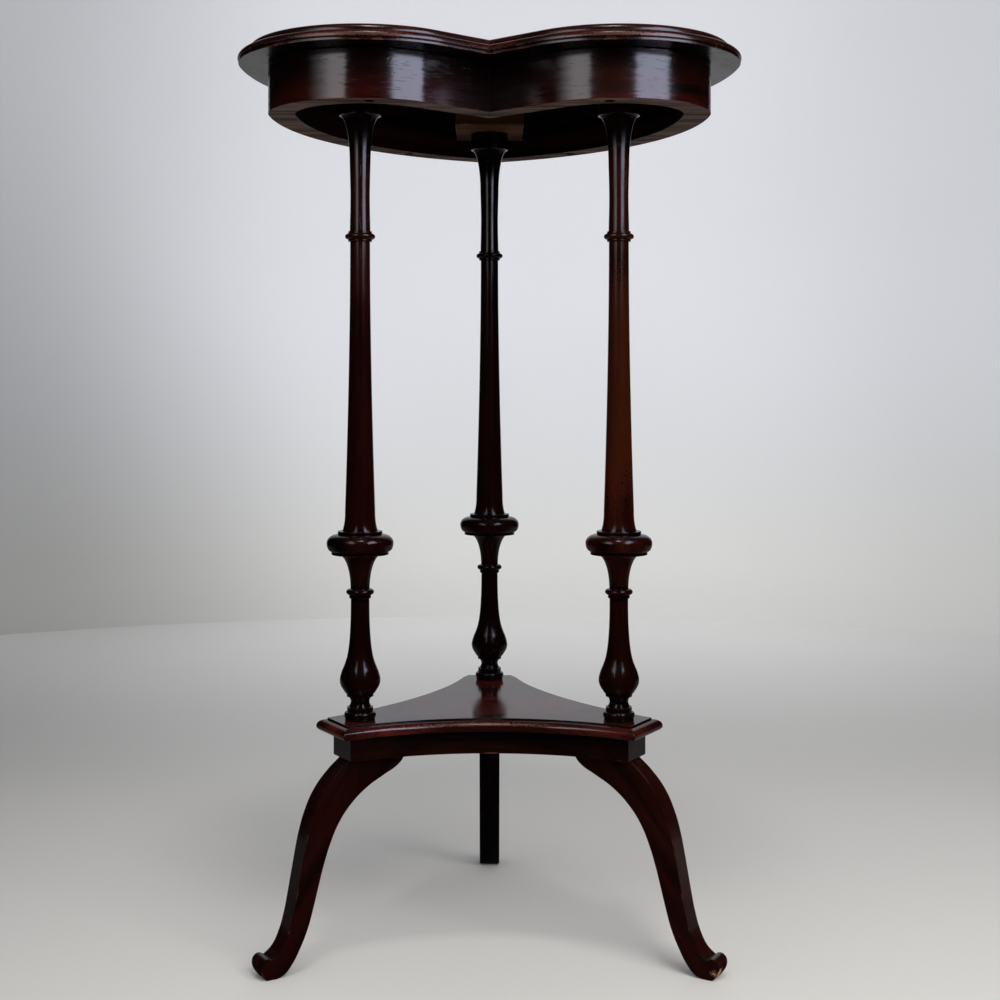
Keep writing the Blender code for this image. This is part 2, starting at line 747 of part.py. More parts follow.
def make_tabletop():
    """Make the heart-shaped top, with blind holes for the frieze screws."""
    mesh = moulded_mesh("tabletop", heart.whole, tabletop_profile(), TABLE_HEIGHT)
    shade_round(mesh)
    top = link_part("tabletop", mesh, mahogany)
    unit = turned_mesh(
        "pilot", screw_profile(FRIEZE_SCREW_LENGTH, SEAT_GAP), SCREW_STEPS
    )
    places = frieze_screw_places()
    cut(top, group_mesh("tabletop_pilots", unit, places["left"] + places["right"]))


def make_frieze():
    """Make the two halves of the frieze, mitred at the cusp and at the back point."""
    places = frieze_screw_places()
    bore = screw_profile(
        FRIEZE_SCREW_LENGTH, SEAT_GAP, FRIEZE_SCREW_BORE_DEPTH + CUT_OVERRUN, FRIEZE_BORE_RADIUS
    )
    unit = turned_mesh("frieze_bore", bore, SCREW_STEPS)
    for name, sign in (("left", -1.0), ("right", 1.0)):
        outer = heart.half(0.0)
        inner = heart.half(-FRIEZE_THICKNESS)
        outline = [Vector((sign * p.x, p.y)) for p in outer + list(reversed(inner))]
        for place in outline:
            if place.x == 0.0:
                place.x = sign * SEAT_GAP / 2.0
        mesh = plate_mesh("frieze_" + name, outline, FRIEZE_BOTTOM, FRIEZE_HEIGHT)
        shade_round(mesh)
        half = link_part("frieze_" + name, mesh, mahogany)
        cut(half, group_mesh(half.name + "_bores", unit, places[name]))


def make_bearer(spoke, inner_end, outer_end):
    """Make the block that joins one column to the top, between two reaches on its spoke."""
    length = outer_end - inner_end
    height = BEARER_THICKNESS - SEAT_GAP
    bpy.ops.mesh.primitive_cube_add(size=1.0)
    source = bpy.context.object
    mesh = source.data.copy()
    bpy.data.objects.remove(source, do_unlink=True)
    mesh.transform(Matrix.Diagonal((length, BEARER_WIDTH, height, 1.0)))
    bearer = link_part("bearer_" + spoke, mesh, bare_wood)
    middle = (inner_end + outer_end) / 2.0
    bearer.location = on_spoke(spoke, middle, height=BEARER_BOTTOM + height / 2.0)
    bearer.rotation_euler = (0.0, 0.0, SPOKES[spoke])
    bore = rod_profile(
        TENON_RADIUS + SEAT_GAP, BEARER_BOTTOM - CUT_OVERRUN,
        BEARER_BOTTOM + TOP_TENON_LENGTH + TENON_BORE_SPARE,
    )
    unit = turned_mesh("bearer_bore", bore, COLUMN_STEPS)
    cut(bearer, group_mesh(bearer.name + "_bore", unit, [on_spoke(spoke, COLUMN_CIRCLE)]))


def make_bearers():
    """Make the three bearers, each as long as the space inside the frieze lets it be."""
    half_width = BEARER_WIDTH / 2.0
    lobe_inside = LOBE_RADIUS - FRIEZE_THICKNESS - FRONT_BEARER_TO_FRIEZE
    front_inner = COLUMN_CIRCLE - FRONT_BEARER_INNER_REACH
    front_outer = reach_in_circle("right", half_width, heart.lobe, lobe_inside)
    make_bearer("left", front_inner, front_outer)
    make_bearer("right", front_inner, front_outer)
    side_inside = SIDE_RADIUS - FRIEZE_THICKNESS - BACK_BEARER_TO_FRIEZE
    back_inner = COLUMN_CIRCLE - BACK_BEARER_INNER_REACH
    back_outer = reach_in_circle("back", half_width, heart.side, side_inside)
    make_bearer("back", back_inner, back_outer)


def make_columns():
    """Make the three columns, which share one profile."""
    profile = profile_mesh("column_profile", column_profile())
    for spoke in SPOKES:
        column = link_part("column_" + spoke, profile, dark_mahogany)
        column.location = on_spoke(spoke, COLUMN_CIRCLE, height=BOARD_TOP + SEAT_GAP)
        add_turning(column, COLUMN_STEPS)


def joined(name, *meshes):
    """Return one mesh that holds all of the given ones."""
    work = bmesh.new()
    for mesh in meshes:
        work.from_mesh(mesh)
    whole = bpy.data.meshes.new(name)
    work.to_mesh(whole)
    work.free()
    return whole


def column_places():
    """Return the places of the columns' axes."""
    return [on_spoke(spoke, COLUMN_CIRCLE) for spoke in SPOKES]


def shelf_screw_places():
    """Return the places of the shelf screws' heads, two on each spoke."""
    height = BLOCK_BOTTOM + SEAT_GAP
    return [
        on_spoke(spoke, SHELF_SCREW_REACH, side * SHELF_SCREW_SPREAD, height)
        for spoke in SPOKES
        for side in (-1.0, 1.0)
    ]


def dowel_places(height):
    """Return the places of the leg dowels' lower ends."""
    return [
        on_spoke(spoke, reach, height=height) for spoke in SPOKES for reach in DOWEL_REACHES
    ]


def make_shelf_board():
    """Make the moulded shelf board, bored through for the columns' foot tenons."""
    mesh = moulded_mesh("shelf_board", shelf_outline, board_profile(), BOARD_TOP)
    shade_round(mesh)
    board = link_part("shelf_board", mesh, mahogany)
    rod = rod_profile(
        TENON_RADIUS + SEAT_GAP, BLOCK_TOP - CUT_OVERRUN, BOARD_TOP + CUT_OVERRUN
    )
    bores = group_mesh(
        "board_bores", turned_mesh("board_bore", rod, COLUMN_STEPS), column_places()
    )
    screw = screw_profile(SHELF_SCREW_LENGTH, SEAT_GAP)
    pilots = group_mesh(
        "board_pilots", turned_mesh("board_pilot", screw, SCREW_STEPS), shelf_screw_places()
    )
    cut(board, joined("shelf_board_cuts", bores, pilots))


def make_shelf_block():
    """Make the plain block under the board, with its sockets and screw holes."""
    thickness = BLOCK_THICKNESS - SEAT_GAP
    outline = shelf_outline(-BLOCK_SET_BACK)
    mesh = plate_mesh("shelf_block", outline, BLOCK_BOTTOM, thickness)
    shade_round(mesh)
    block = link_part("shelf_block", mesh, dark_mahogany)
    socket_floor = BOARD_TOP - FOOT_TENON_LENGTH - TENON_BORE_SPARE
    socket = rod_profile(TENON_RADIUS + SEAT_GAP, socket_floor, BLOCK_TOP + CUT_OVERRUN)
    sockets = group_mesh(
        "sockets", turned_mesh("socket", socket, COLUMN_STEPS), column_places()
    )
    hole = rod_profile(DOWEL_RADIUS + SEAT_GAP, -CUT_OVERRUN, DOWEL_IN_BLOCK + SEAT_GAP)
    holes = group_mesh(
        "dowel_holes", turned_mesh("dowel_hole", hole, SCREW_STEPS), dowel_places(BLOCK_BOTTOM)
    )
    screw = screw_profile(
        SHELF_SCREW_LENGTH, SEAT_GAP, SEAT_GAP + CUT_OVERRUN, SCREW_HEAD_RADIUS + SEAT_GAP
    )
    screws = group_mesh(
        "screw_holes", turned_mesh("screw_hole", screw, SCREW_STEPS), shelf_screw_places()
    )
    cut(block, joined("shelf_block_cuts", sockets, holes, screws))


def leg_curve():
    """Return the leg's outline as a filled curve, reach along X and height along Y."""
    span = TOE_REACH - SEAT_INNER_REACH
    seat = LEG_HEIGHT - SEAT_GAP
    places = [(SEAT_INNER_REACH, seat, 1), (SEAT_OUTER_REACH, seat, 1)]
    for way, rise, corner in LEG_BACK_SHARES + LEG_TOE_SHARES + LEG_FRONT_SHARES:
        places.append((SEAT_INNER_REACH + span * way, seat * rise, corner))
    curve = bpy.data.curves.new("leg", "CURVE")
    curve.dimensions = "2D"
    curve.fill_mode = "BOTH"
    curve.extrude = LEG_THICKNESS / 2.0
    curve.resolution_u = LEG_CURVE_STEPS
    spline = curve.splines.new("BEZIER")
    spline.bezier_points.add(len(places) - 1)
    for point, (reach, height, corner) in zip(spline.bezier_points, places):
        point.co = (reach, height, 0.0)
        kind = "VECTOR" if corner else "AUTO"
        point.handle_left_type = kind
        point.handle_right_type = kind
    spline.use_cyclic_u = True
    return curve


def make_legs():
    """Make the three legs, bored in their seats for the dowels."""
    source = bpy.data.objects.new("leg_curve", leg_curve())
    parts.objects.link(source)
    outline = weld(evaluated_mesh(source))
    outline.transform(Matrix.Rotation(math.radians(90.0), 4, "X"))
    shade_round(outline)
    hole = rod_profile(DOWEL_RADIUS + SEAT_GAP, -DOWEL_IN_LEG - SEAT_GAP, CUT_OVERRUN)
    unit = turned_mesh("leg_dowel_hole", hole, SCREW_STEPS)
    for spoke in SPOKES:
        leg = link_part("leg_" + spoke, outline.copy(), dark_mahogany)
        leg.rotation_euler = (0.0, 0.0, SPOKES[spoke])
        places = [on_spoke(spoke, reach, height=BLOCK_BOTTOM) for reach in DOWEL_REACHES]
        cut(leg, group_mesh(leg.name + "_holes", unit, places))


def add_fasteners(name, mesh, places, material):
    """Make one part for each place, numbered from 1, all with the same mesh."""
    for number, place in enumerate(places, start=1):
        fastener = link_part(f"{name}_{number}", mesh, material)
        fastener.location = place


def make_fasteners():
    """Make the screws and dowels, each as a separate part."""
    mesh = turned_mesh("frieze_screw", screw_profile(FRIEZE_SCREW_LENGTH), SCREW_STEPS)
    places = frieze_screw_places()
    add_fasteners("frieze_screw", mesh, places["left"] + places["right"], steel)
    mesh = turned_mesh("shelf_screw", screw_profile(SHELF_SCREW_LENGTH), SCREW_STEPS)
    add_fasteners("shelf_screw", mesh, shelf_screw_places(), steel)
    mesh = turned_mesh("leg_dowel", rod_profile(DOWEL_RADIUS, 0.0, DOWEL_LENGTH), SCREW_STEPS)
    add_fasteners("leg_dowel", mesh, dowel_places(BLOCK_BOTTOM - DOWEL_IN_LEG), dowel_wood)


def centre_offset():
    """Return how far the column axis lies from the middle of the top, along Y."""
    outline = heart.whole(TOP_OVERHANG)
    return -(min(p.y for p in outline) + max(p.y for p in outline)) / 2.0


clear_scene()
parts = new_collection("heart_occasional_table")
cutters = new_collection("cutters")
heart = Heart()

table_axis = bpy.data.objects.new("table_axis", None)
table_axis.location = (0.0, centre_offset(), 0.0)
parts.objects.link(table_axis)

mahogany = new_material("polished_mahogany", MAHOGANY, 0.18)
dark_mahogany = new_material("dark_polished_mahogany", DARK_MAHOGANY, 0.20)
bare_wood = new_material("bare_bearer_wood", BEARER_WOOD, 0.70)
dowel_wood = new_material("dowel_wood", DOWEL_WOOD, 0.70)
steel = new_material("steel", STEEL, 0.40, 1.0)

make_tabletop()
make_frieze()
make_bearers()
make_columns()
make_shelf_board()
make_shelf_block()
make_legs()
make_fasteners()
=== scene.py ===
"""Heart-shaped occasional table in French-polished mahogany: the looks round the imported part.

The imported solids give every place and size. Each sub-assembly below makes finer meshes for its
own pieces, with eased arrises and full mouldings, dresses them and puts them in the solids' place.
Units are metres, +Z is up and the floor is z = 0. The cusp of the heart faces -Y.
"""

import logging
import math
from collections.abc import Callable, Sequence
from dataclasses import dataclass, field
from enum import Enum

import bmesh
import bpy
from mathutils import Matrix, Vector


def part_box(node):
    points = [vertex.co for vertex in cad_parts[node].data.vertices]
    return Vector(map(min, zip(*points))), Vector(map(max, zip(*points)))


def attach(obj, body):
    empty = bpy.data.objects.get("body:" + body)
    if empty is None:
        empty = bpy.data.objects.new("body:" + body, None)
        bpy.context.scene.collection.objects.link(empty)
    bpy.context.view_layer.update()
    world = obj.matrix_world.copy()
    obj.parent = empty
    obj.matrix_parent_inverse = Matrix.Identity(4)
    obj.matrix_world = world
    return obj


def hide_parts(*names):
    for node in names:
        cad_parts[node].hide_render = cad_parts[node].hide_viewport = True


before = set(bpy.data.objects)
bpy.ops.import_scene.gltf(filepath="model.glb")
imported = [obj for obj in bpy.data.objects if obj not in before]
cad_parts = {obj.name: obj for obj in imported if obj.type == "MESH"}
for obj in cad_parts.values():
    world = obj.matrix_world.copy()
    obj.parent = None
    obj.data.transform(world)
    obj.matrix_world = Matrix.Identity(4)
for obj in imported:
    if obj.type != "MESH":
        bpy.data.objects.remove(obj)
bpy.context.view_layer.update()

LOG = logging.getLogger("heart_table")
BODY = "root"
ORIGIN = (0.0, 0.0, 0.0)
QUARTER_TURN = math.radians(90.0)
DUST_GREY = (0.35, 0.33, 0.31, 1.0)

# Rounding of arrises, and the wear that gathers on them
EASE_STEPS = 4
EASE_ROOM = 0.45
SHARP_TURN = math.radians(24.0)
WIDEST_TURN = 2.2
SUPPORT_DISTANCES = (0.0003, 0.0009, 0.0022, 0.0050)
ARRIS_SPREAD = 0.0008
HOLLOW_SPREAD = 0.0017
FULL_TURN = 1.25
CREASE_ANGLE = math.radians(40.0)

# Meshes: how close points are welded, and the straight parts of a moulding's quarter curves
WELD_DISTANCE = 0.00001
LEAST_DROP = 0.00001
OVOLO_STEPS = 12
CAVETTO_STEPS = 26

# Drilled holes and turned screws
BORE_FACETS = 32
LEAST_MOUTH = 0.0005
RUN_OUT = 0.001
HEAD_FACETS = 36
SHANK_FACETS = 24
TIP_SHARE = 0.3

# Shader groups: features in a metre, and the spans to which each pattern is cut
RIBBON_SCALE = 9.0
FIGURE_SPAN = (0.54, 0.82)
STREAK_SPAN = (0.42, 0.64)
PORE_EDGE = 0.78
PORE_OPENING = 0.22
PORE_BLUR = 0.07
STREAK_RELIEF = 0.6
SPECK_SCALE = 900.0
PATCH_SPAN = (0.34, 0.66)
PATCH_SHARE = 0.75
SPECK_SHARE = 0.25
RUBBED_SPAN = (0.22, 0.85)
GRIME_LIFT = 0.45
GRIME_SPAN = (0.05, 0.75)
SMEAR_SPAN = (0.35, 0.75)
DENT_SCALE = 150.0
DENT_SPAN = (0.66, 0.80)
UPWARD_SPAN = (0.55, 0.98)
LINT_SCALE = 420.0
LINT_SPAN = (0.5, 0.8)
SPOT_SPAN = (1.0, 0.6)

Socket = bpy.types.NodeSocket
Colour = tuple[float, float, float]
Place = tuple[float, float, float]
Pair = tuple[float, float]
Outline = Callable[[float], list[Vector]]
Feed = Socket | float | tuple | None
Feeds = dict[str | int, Feed]


def middle_of(node: str) -> Vector:
    """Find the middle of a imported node's box."""
    low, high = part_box(node)
    return (low + high) / 2.0


def level(node: str, top: bool) -> float:
    """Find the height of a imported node's top, or of its underside."""
    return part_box(node)[1 if top else 0].z


def packed(start: str) -> list[str]:
    """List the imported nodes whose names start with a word."""
    return sorted(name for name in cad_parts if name.startswith(start))


COLUMN_NODES = ("column_left", "column_right", "column_back")
AXIS = sum((middle_of(node) for node in COLUMN_NODES), Vector()) / len(COLUMN_NODES)
AXIS.z = 0.0


class Spoke(Enum):
    """The three directions from the table's axis on which its columns and legs stand."""

    LEFT = math.radians(-150.0)
    RIGHT = math.radians(-30.0)
    BACK = math.radians(90.0)

    @property
    def label(self) -> str:
        """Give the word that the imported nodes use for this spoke."""
        return self.name.lower()

    @property
    def along(self) -> Vector:
        """Give the way along the spoke."""
        return Vector((math.cos(self.value), math.sin(self.value), 0.0))

    @property
    def across(self) -> Vector:
        """Give the way to the left of the spoke."""
        return Vector((-self.along.y, self.along.x, 0.0))

    def place(self, reach: float, left: float, height: float = 0.0) -> Vector:
        """Find a place by its reach along the spoke, its distance to the left and its height."""
        return AXIS + self.along * reach + self.across * left + Vector((0.0, 0.0, height))


def bend(start: Vector, tip: Vector, end: Vector) -> list[Vector]:
    """Draw a short curve.

    Args:
        start: Where it starts.
        tip: What it is drawn towards.
        end: Where it ends.

    Returns:
        Its points, with the start and the end.
    """
    ways = [step / EASE_STEPS for step in range(EASE_STEPS + 1)]
    return [start * (1.0 - way) ** 2 + tip * (2.0 * way * (1.0 - way)) + end * way**2
            for way in ways]


def eased(line: list[Vector], ease: float, closed: bool) -> list[Vector]:
    """Round each sharp corner of a line with a short curve.

    Args:
        line: Points of the line, two numbers each.
        ease: Size of the rounding.
        closed: Whether the line is a loop.

    Returns:
        The points with the curves in place of the sharp corners.
    """
    rounded = []
    for index, corner in enumerate(line):
        back = line[index - 1] - corner
        ahead = line[(index + 1) % len(line)] - corner
        at_end = not closed and index in (0, len(line) - 1)
        turn = 0.0 if at_end else math.pi - back.angle(ahead)
        if turn < SHARP_TURN:
            rounded.append(corner)
            continue
        room = EASE_ROOM * min(back.length, ahead.length)
        setback = min(ease * math.tan(min(turn, WIDEST_TURN) / 2.0), room)
        start = corner + back.normalized() * setback
        rounded += bend(start, corner, corner + ahead.normalized() * setback)
    return rounded


def wear_along(points: list[Vector], closed: bool) -> tuple[list[float], list[float]]:
    """Work out how much each point of a line lies on an arris or in a hollow.

    Walking along the line, a turn to the right is a proud arris and a turn to the left is a
    hollow where dark polish gathers.

    Args:
        points: Points of the line.
        closed: Whether the line is a loop.

    Returns:
        Two lists of shares from 0 to 1, one for arrises and one for hollows.
    """
    places, turns = [0.0], []
    for before, point in zip(points, points[1:]):
        places.append(places[-1] + (point - before).length)
    total = places[-1] + (points[0] - points[-1]).length
    for index, point in enumerate(points):
        back = point - points[index - 1]
        ahead = points[(index + 1) % len(points)] - point
        inside = closed or index not in (0, len(points) - 1)
        if inside and back.length > 0.0 and ahead.length > 0.0:
            turns.append((places[index], back.angle_signed(ahead, 0.0)))
    arris, hollow = [], []
    for place in places:
        proud = deep = 0.0
        for where, turn in turns:
            gap = abs(where - place)
            gap = min(gap, total - gap) if closed else gap
            if turn > 0.0:
                proud += turn * math.exp(-((gap / ARRIS_SPREAD) ** 2))
            else:
                deep -= turn * math.exp(-((gap / HOLLOW_SPREAD) ** 2))
        arris.append(min(1.0, proud / FULL_TURN))
        hollow.append(min(1.0, deep / FULL_TURN))
    return arris, hollow


@dataclass
class Section:
    """Line of a moulding or turning, as points (out, up), with its arrises eased."""

    corners: Sequence[Pair]
    ease: float = 0.0004
    closed: bool = False
    points: list[Vector] = field(init=False)
    arris: list[float] = field(init=False)
    hollow: list[float] = field(init=False)

    def __post_init__(self) -> None:
        """Ease the corners, add points beside them and work out the wear."""
        line = [Vector(self.corners[0])]
        for corner in self.corners[1:]:
            if (Vector(corner) - line[-1]).length > WELD_DISTANCE:
                line.append(Vector(corner))
        self.points = self.supported(eased(line, self.ease, self.closed))
        self.arris, self.hollow = wear_along(self.points, self.closed)

    def supported(self, line: list[Vector]) -> list[Vector]:
        """Add points near both ends of each long stretch, so that shading stays on the arris.

        Args:
            line: Points of the line.

        Returns:
            The points with the added ones between them.
        """
        filled = []
        ends = line[1:] + line[:1] if self.closed else line[1:]
        for start, end in zip(line, ends):
            run = end - start
            near = [d for d in SUPPORT_DISTANCES if d < run.length * EASE_ROOM]
            filled += [start] + [start + run.normalized() * d for d in near]
            filled += [end - run.normalized() * d for d in reversed(near)]
        return filled if self.closed else filled + [line[-1]]


class Member:
    """Half profile of a turning or moulding, built member by member from the top down."""

    def __init__(self, out: float, up: float) -> None:
        """Start the line at a distance out and a height."""
        self.out, self.up = out, up
        self.points: list[Pair] = [(out, up)]

    def to(self, out: float, drop: float = 0.0) -> None:
        """Run straight to a point at another distance out, a drop below the last."""
        self.out, self.up = out, self.up - drop
        self.points.append((self.out, self.up))

    def fillet(self, out: float, height: float) -> None:
        """Add a short upright band at a distance out."""
        self.to(out)
        self.to(out, height)

    def sweep(self, steps: int, place_at: Callable[[float], Pair]) -> None:
        """Run a curve in straight parts.

        Args:
            steps: Number of straight parts.
            place_at: Gives (out, drop below the start) at a share of the way.
        """
        base = self.up
        for step in range(1, steps + 1):
            out, drop = place_at(step / steps)
            self.points.append((out, base - drop))
        self.out, self.up = self.points[-1]

    def quarter(self, out: float, height: float, steps: int) -> None:
        """Add a quarter curve that starts level and ends upright.

        Args:
            out: Distance out where it ends.
            height: Its height.
            steps: Number of straight parts.
        """
        rim = self.out
        self.sweep(steps, lambda way: (rim + (out - rim) * math.sin(QUARTER_TURN * way),
                                       height * (1.0 - math.cos(QUARTER_TURN * way))))

    def ovolo(self, width: float, height: float) -> None:
        """Add a convex quarter that starts flat and ends upright, going outwards and down."""
        self.quarter(self.out + width, height, OVOLO_STEPS)

    def cavetto(self, neck: float, height: float) -> None:
        """Add a hollow quarter that sweeps in and ends upright at a neck."""
        self.quarter(neck, height, CAVETTO_STEPS)

    def taper(self, foot: float, height: float, power: float, steps: int) -> None:
        """Add a shaft whose radius changes with a power of the way down."""
        top = self.out
        self.sweep(steps, lambda way: (top + (foot - top) * way**power, height * way))

    def bead(self, belly: float, foot: float, height: float, steps: int = 18) -> None:
        """Add a rounded bead from where the line stands.

        Args:
            belly: Distance out at its fullest, half way down.
            foot: Distance out where it ends.
            height: Its height.
            steps: Number of straight parts.
        """
        top = self.out

        def place(way: float) -> Pair:
            """Give the bead's place at a share of its half turn.

            Args:
                way: The share, from 0 to 1.

            Returns:
                The distance out, and the drop below the bead's start.
            """
            core = top if way <= 0.5 else foot
            out = core + (belly - core) * math.sin(math.pi * way)
            return out, height * (1.0 - math.cos(math.pi * way)) / 2.0

        self.sweep(steps, place)

    def curve(self, places: Sequence[Pair], steps: int) -> None:
        """Run a smooth curve through places given as (out, drop below the start).

        Args:
            places: Places that the curve goes through, after the one where the line stands.
            steps: Number of straight parts between two places.
        """
        base = self.up
        knots = [Vector((self.out, base))] + [Vector((out, base - drop)) for out, drop in places]
        knots = [knots[0] * 2.0 - knots[1]] + knots + [knots[-1] * 2.0 - knots[-2]]
        for index in range(1, len(knots) - 2):
            p0, p1, p2, p3 = knots[index - 1:index + 3]
            for step in range(1, steps + 1):
                t = step / steps
                place = 0.5 * (
                    p1 * 2.0 + (p2 - p0) * t + (p0 * 2.0 - p1 * 5.0 + p2 * 4.0 - p3) * t**2
                    + (p1 * 3.0 - p0 - p2 * 3.0 + p3) * t**3
                )
                self.points.append((place.x, place.y))
        self.out, self.up = self.points[-1]


def drawn(name: str, points: Sequence, faces: Sequence = (), edges: Sequence = ()
          ) -> bpy.types.Mesh:
    """Draw a mesh.

    Args:
        name: Name of the mesh.
        points: Its points.
        faces: Its faces, as numbers of points.
        edges: Its loose edges, as numbers of points.

    Returns:
        The mesh.
    """
    mesh = bpy.data.meshes.new(name)
    mesh.from_pydata(points, edges, faces)
    return mesh


def mark(mesh: bpy.types.Mesh, **marks: Sequence[float]) -> None:
    """Give every point of a mesh its numbers, under their names."""
    for label, values in marks.items():
        mesh.attributes.new(label, "FLOAT", "POINT").data.foreach_set("value", values)


@dataclass
class Shell:
    """Closed shell made of rings of points, each point with its wear."""

    name: str
    points: list[Vector] = field(default_factory=list)
    arris: list[float] = field(default_factory=list)
    hollow: list[float] = field(default_factory=list)
    rings: list[list[int]] = field(default_factory=list)

    def ring(self, points: Sequence[Vector], arris: Sequence[float],
             hollow: Sequence[float]) -> None:
        """Add one ring of points, with the arris wear and the dark polish at each.

        Args:
            points: The ring's points.
            arris: Arris wear at each point.
            hollow: Dark polish at each point.
        """
        self.rings.append(list(range(len(self.points), len(self.points) + len(points))))
        self.points += points
        self.arris += arris
        self.hollow += hollow

    def mesh(self) -> bpy.types.Mesh:
        """Join the rings, close both ends and face the mesh outwards.

        Returns:
            The mesh, with its wear as attributes.
        """
        faces = [self.rings[0], self.rings[-1][::-1]]
        for upper, lower in zip(self.rings, self.rings[1:]):
            faces += [[upper[index - 1], lower[index - 1], lower[index], upper[index]]
                      for index in range(len(upper))]
        mesh = drawn(self.name, self.points, faces)
        mark(mesh, arris=self.arris, hollow=self.hollow)
        return outward(mesh)


def outward(mesh: bpy.types.Mesh) -> bpy.types.Mesh:
    """Weld a mesh's doubles, turn its faces outwards and shade it with its creases sharp.

    Args:
        mesh: Mesh to set right.

    Returns:
        The same mesh.
    """
    work = bmesh.new()
    work.from_mesh(mesh)
    bmesh.ops.remove_doubles(work, verts=work.verts, dist=WELD_DISTANCE)
    bmesh.ops.recalc_face_normals(work, faces=work.faces)
    work.to_mesh(mesh)
    work.free()
    mesh.shade_smooth()
    mesh.set_sharp_from_angle(angle=CREASE_ANGLE)
    return mesh


def baked(source: bpy.types.Object, name: str) -> bpy.types.Mesh:
    """Turn what an object shows into a plain mesh, and remove the object.

    Args:
        source: Object whose modifiers are used.
        name: Name for the mesh.

    Returns:
        The plain mesh.
    """
    bpy.context.view_layer.update()
    depsgraph = bpy.context.evaluated_depsgraph_get()
    mesh = bpy.data.meshes.new_from_object(
        source.evaluated_get(depsgraph), preserve_all_data_layers=True, depsgraph=depsgraph
    )
    mesh.name = name
    bpy.data.objects.remove(source, do_unlink=True)
    return mesh


def loose_object(name: str, data: bpy.types.ID) -> bpy.types.Object:
    """Link a mesh, curve, lamp or camera to the scene as an object at the origin.

    Args:
        name: Name of the object.
        data: What it shows.

    Returns:
        The object.
    """
    item = bpy.data.objects.new(name, data)
    bpy.context.scene.collection.objects.link(item)
    return item


@dataclass(frozen=True)
class Bore:
    """Upright round hole, drilled from below, with a wider mouth where it is chamfered."""

    radius: float
    bottom: float
    top: float
    place: Vector
    mouth: float = 0.0

    def rod(self, first: int) -> tuple[list[Vector], list[list[int]]]:
        """Draw the rod that cuts the hole.

        Args:
            first: Number of the rod's first point in the mesh that takes it.

        Returns:
            The rod's points and faces.
        """
        throat = self.bottom + max(self.mouth, LEAST_MOUTH)
        rings = ((self.radius + self.mouth, self.bottom), (self.radius, throat),
                 (self.radius, self.top))
        turns = [math.tau * step / BORE_FACETS for step in range(BORE_FACETS)]
        axis = Vector((self.place.x, self.place.y, 0.0))
        points = [Vector((wide * math.cos(turn), wide * math.sin(turn), height)) + axis
                  for wide, height in rings for turn in turns]
        loops = [list(range(first + start, first + start + BORE_FACETS))
                 for start in range(0, len(points), BORE_FACETS)]
        faces = [[lower[index - 1], lower[index], upper[index], upper[index - 1]]
                 for lower, upper in zip(loops, loops[1:]) for index in range(BORE_FACETS)]
        return points, faces + [loops[0][::-1], loops[-1]]


def bored(mesh: bpy.types.Mesh, bores: Sequence[Bore]) -> bpy.types.Mesh:
    """Cut holes in a mesh.

    Args:
        mesh: Mesh to bore.
        bores: The holes.

    Returns:
        The bored mesh.
    """
    points, faces = [], []
    for bore in bores:
        more_points, more_faces = bore.rod(len(points))
        points += more_points
        faces += more_faces
    cutter = loose_object("cutter", drawn("cutter", points, faces))
    source = loose_object(mesh.name + "_uncut", mesh)
    boolean = source.modifiers.new("Bores", "BOOLEAN")
    boolean.operation = "DIFFERENCE"
    boolean.solver = "EXACT"
    boolean.object = cutter
    cut = baked(source, mesh.name)
    bpy.data.objects.remove(cutter, do_unlink=True)
    return outward(cut)


def hand_over(name: str, mesh: bpy.types.Mesh, finishes: Sequence[bpy.types.Material],
              nodes: Sequence[str]) -> None:
    """Link a finished piece, put it in its solids' place and report it.

    Args:
        name: Name of the piece.
        mesh: Its finished mesh.
        finishes: Its materials, in the order of the mesh's material numbers.
        nodes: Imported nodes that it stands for.
    """
    numbers = [face.material_index for face in mesh.polygons]
    mesh.materials.clear()
    for finish in finishes:
        mesh.materials.append(finish)
    mesh.polygons.foreach_set("material_index", numbers)
    piece = loose_object(name, mesh)
    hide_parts(*nodes)
    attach(piece, BODY)
    LOG.info("%s: %d faces in place of %s", name, len(mesh.polygons), ", ".join(nodes))


def shelled(name: str, outline_at: Outline, section: Section) -> bpy.types.Mesh:
    """Run a section round an outline and close it above and below.

    Args:
        name: Name of the mesh.
        outline_at: Gives the closed outline at a distance out, in the part's frame.
        section: Line from the upper face outwards and down to the underside.

    Returns:
        The closed mesh.
    """
    shell = Shell(name)
    for point, arris, hollow in zip(section.points, section.arris, section.hollow):
        ring = [Vector((place.x, place.y, point.y)) for place in outline_at(point.x)]
        shell.ring(ring, [arris] * len(ring), [hollow] * len(ring))
    return shell.mesh()


def arc(centre: Vector, radius: float, start: float, end: float, steps: int) -> list[Vector]:
    """Give the points of an arc in plan, one more than it has steps."""
    swing = [start + (end - start) * step / steps for step in range(steps + 1)]
    return [centre + radius * Vector((math.cos(angle), math.sin(angle))) for angle in swing]


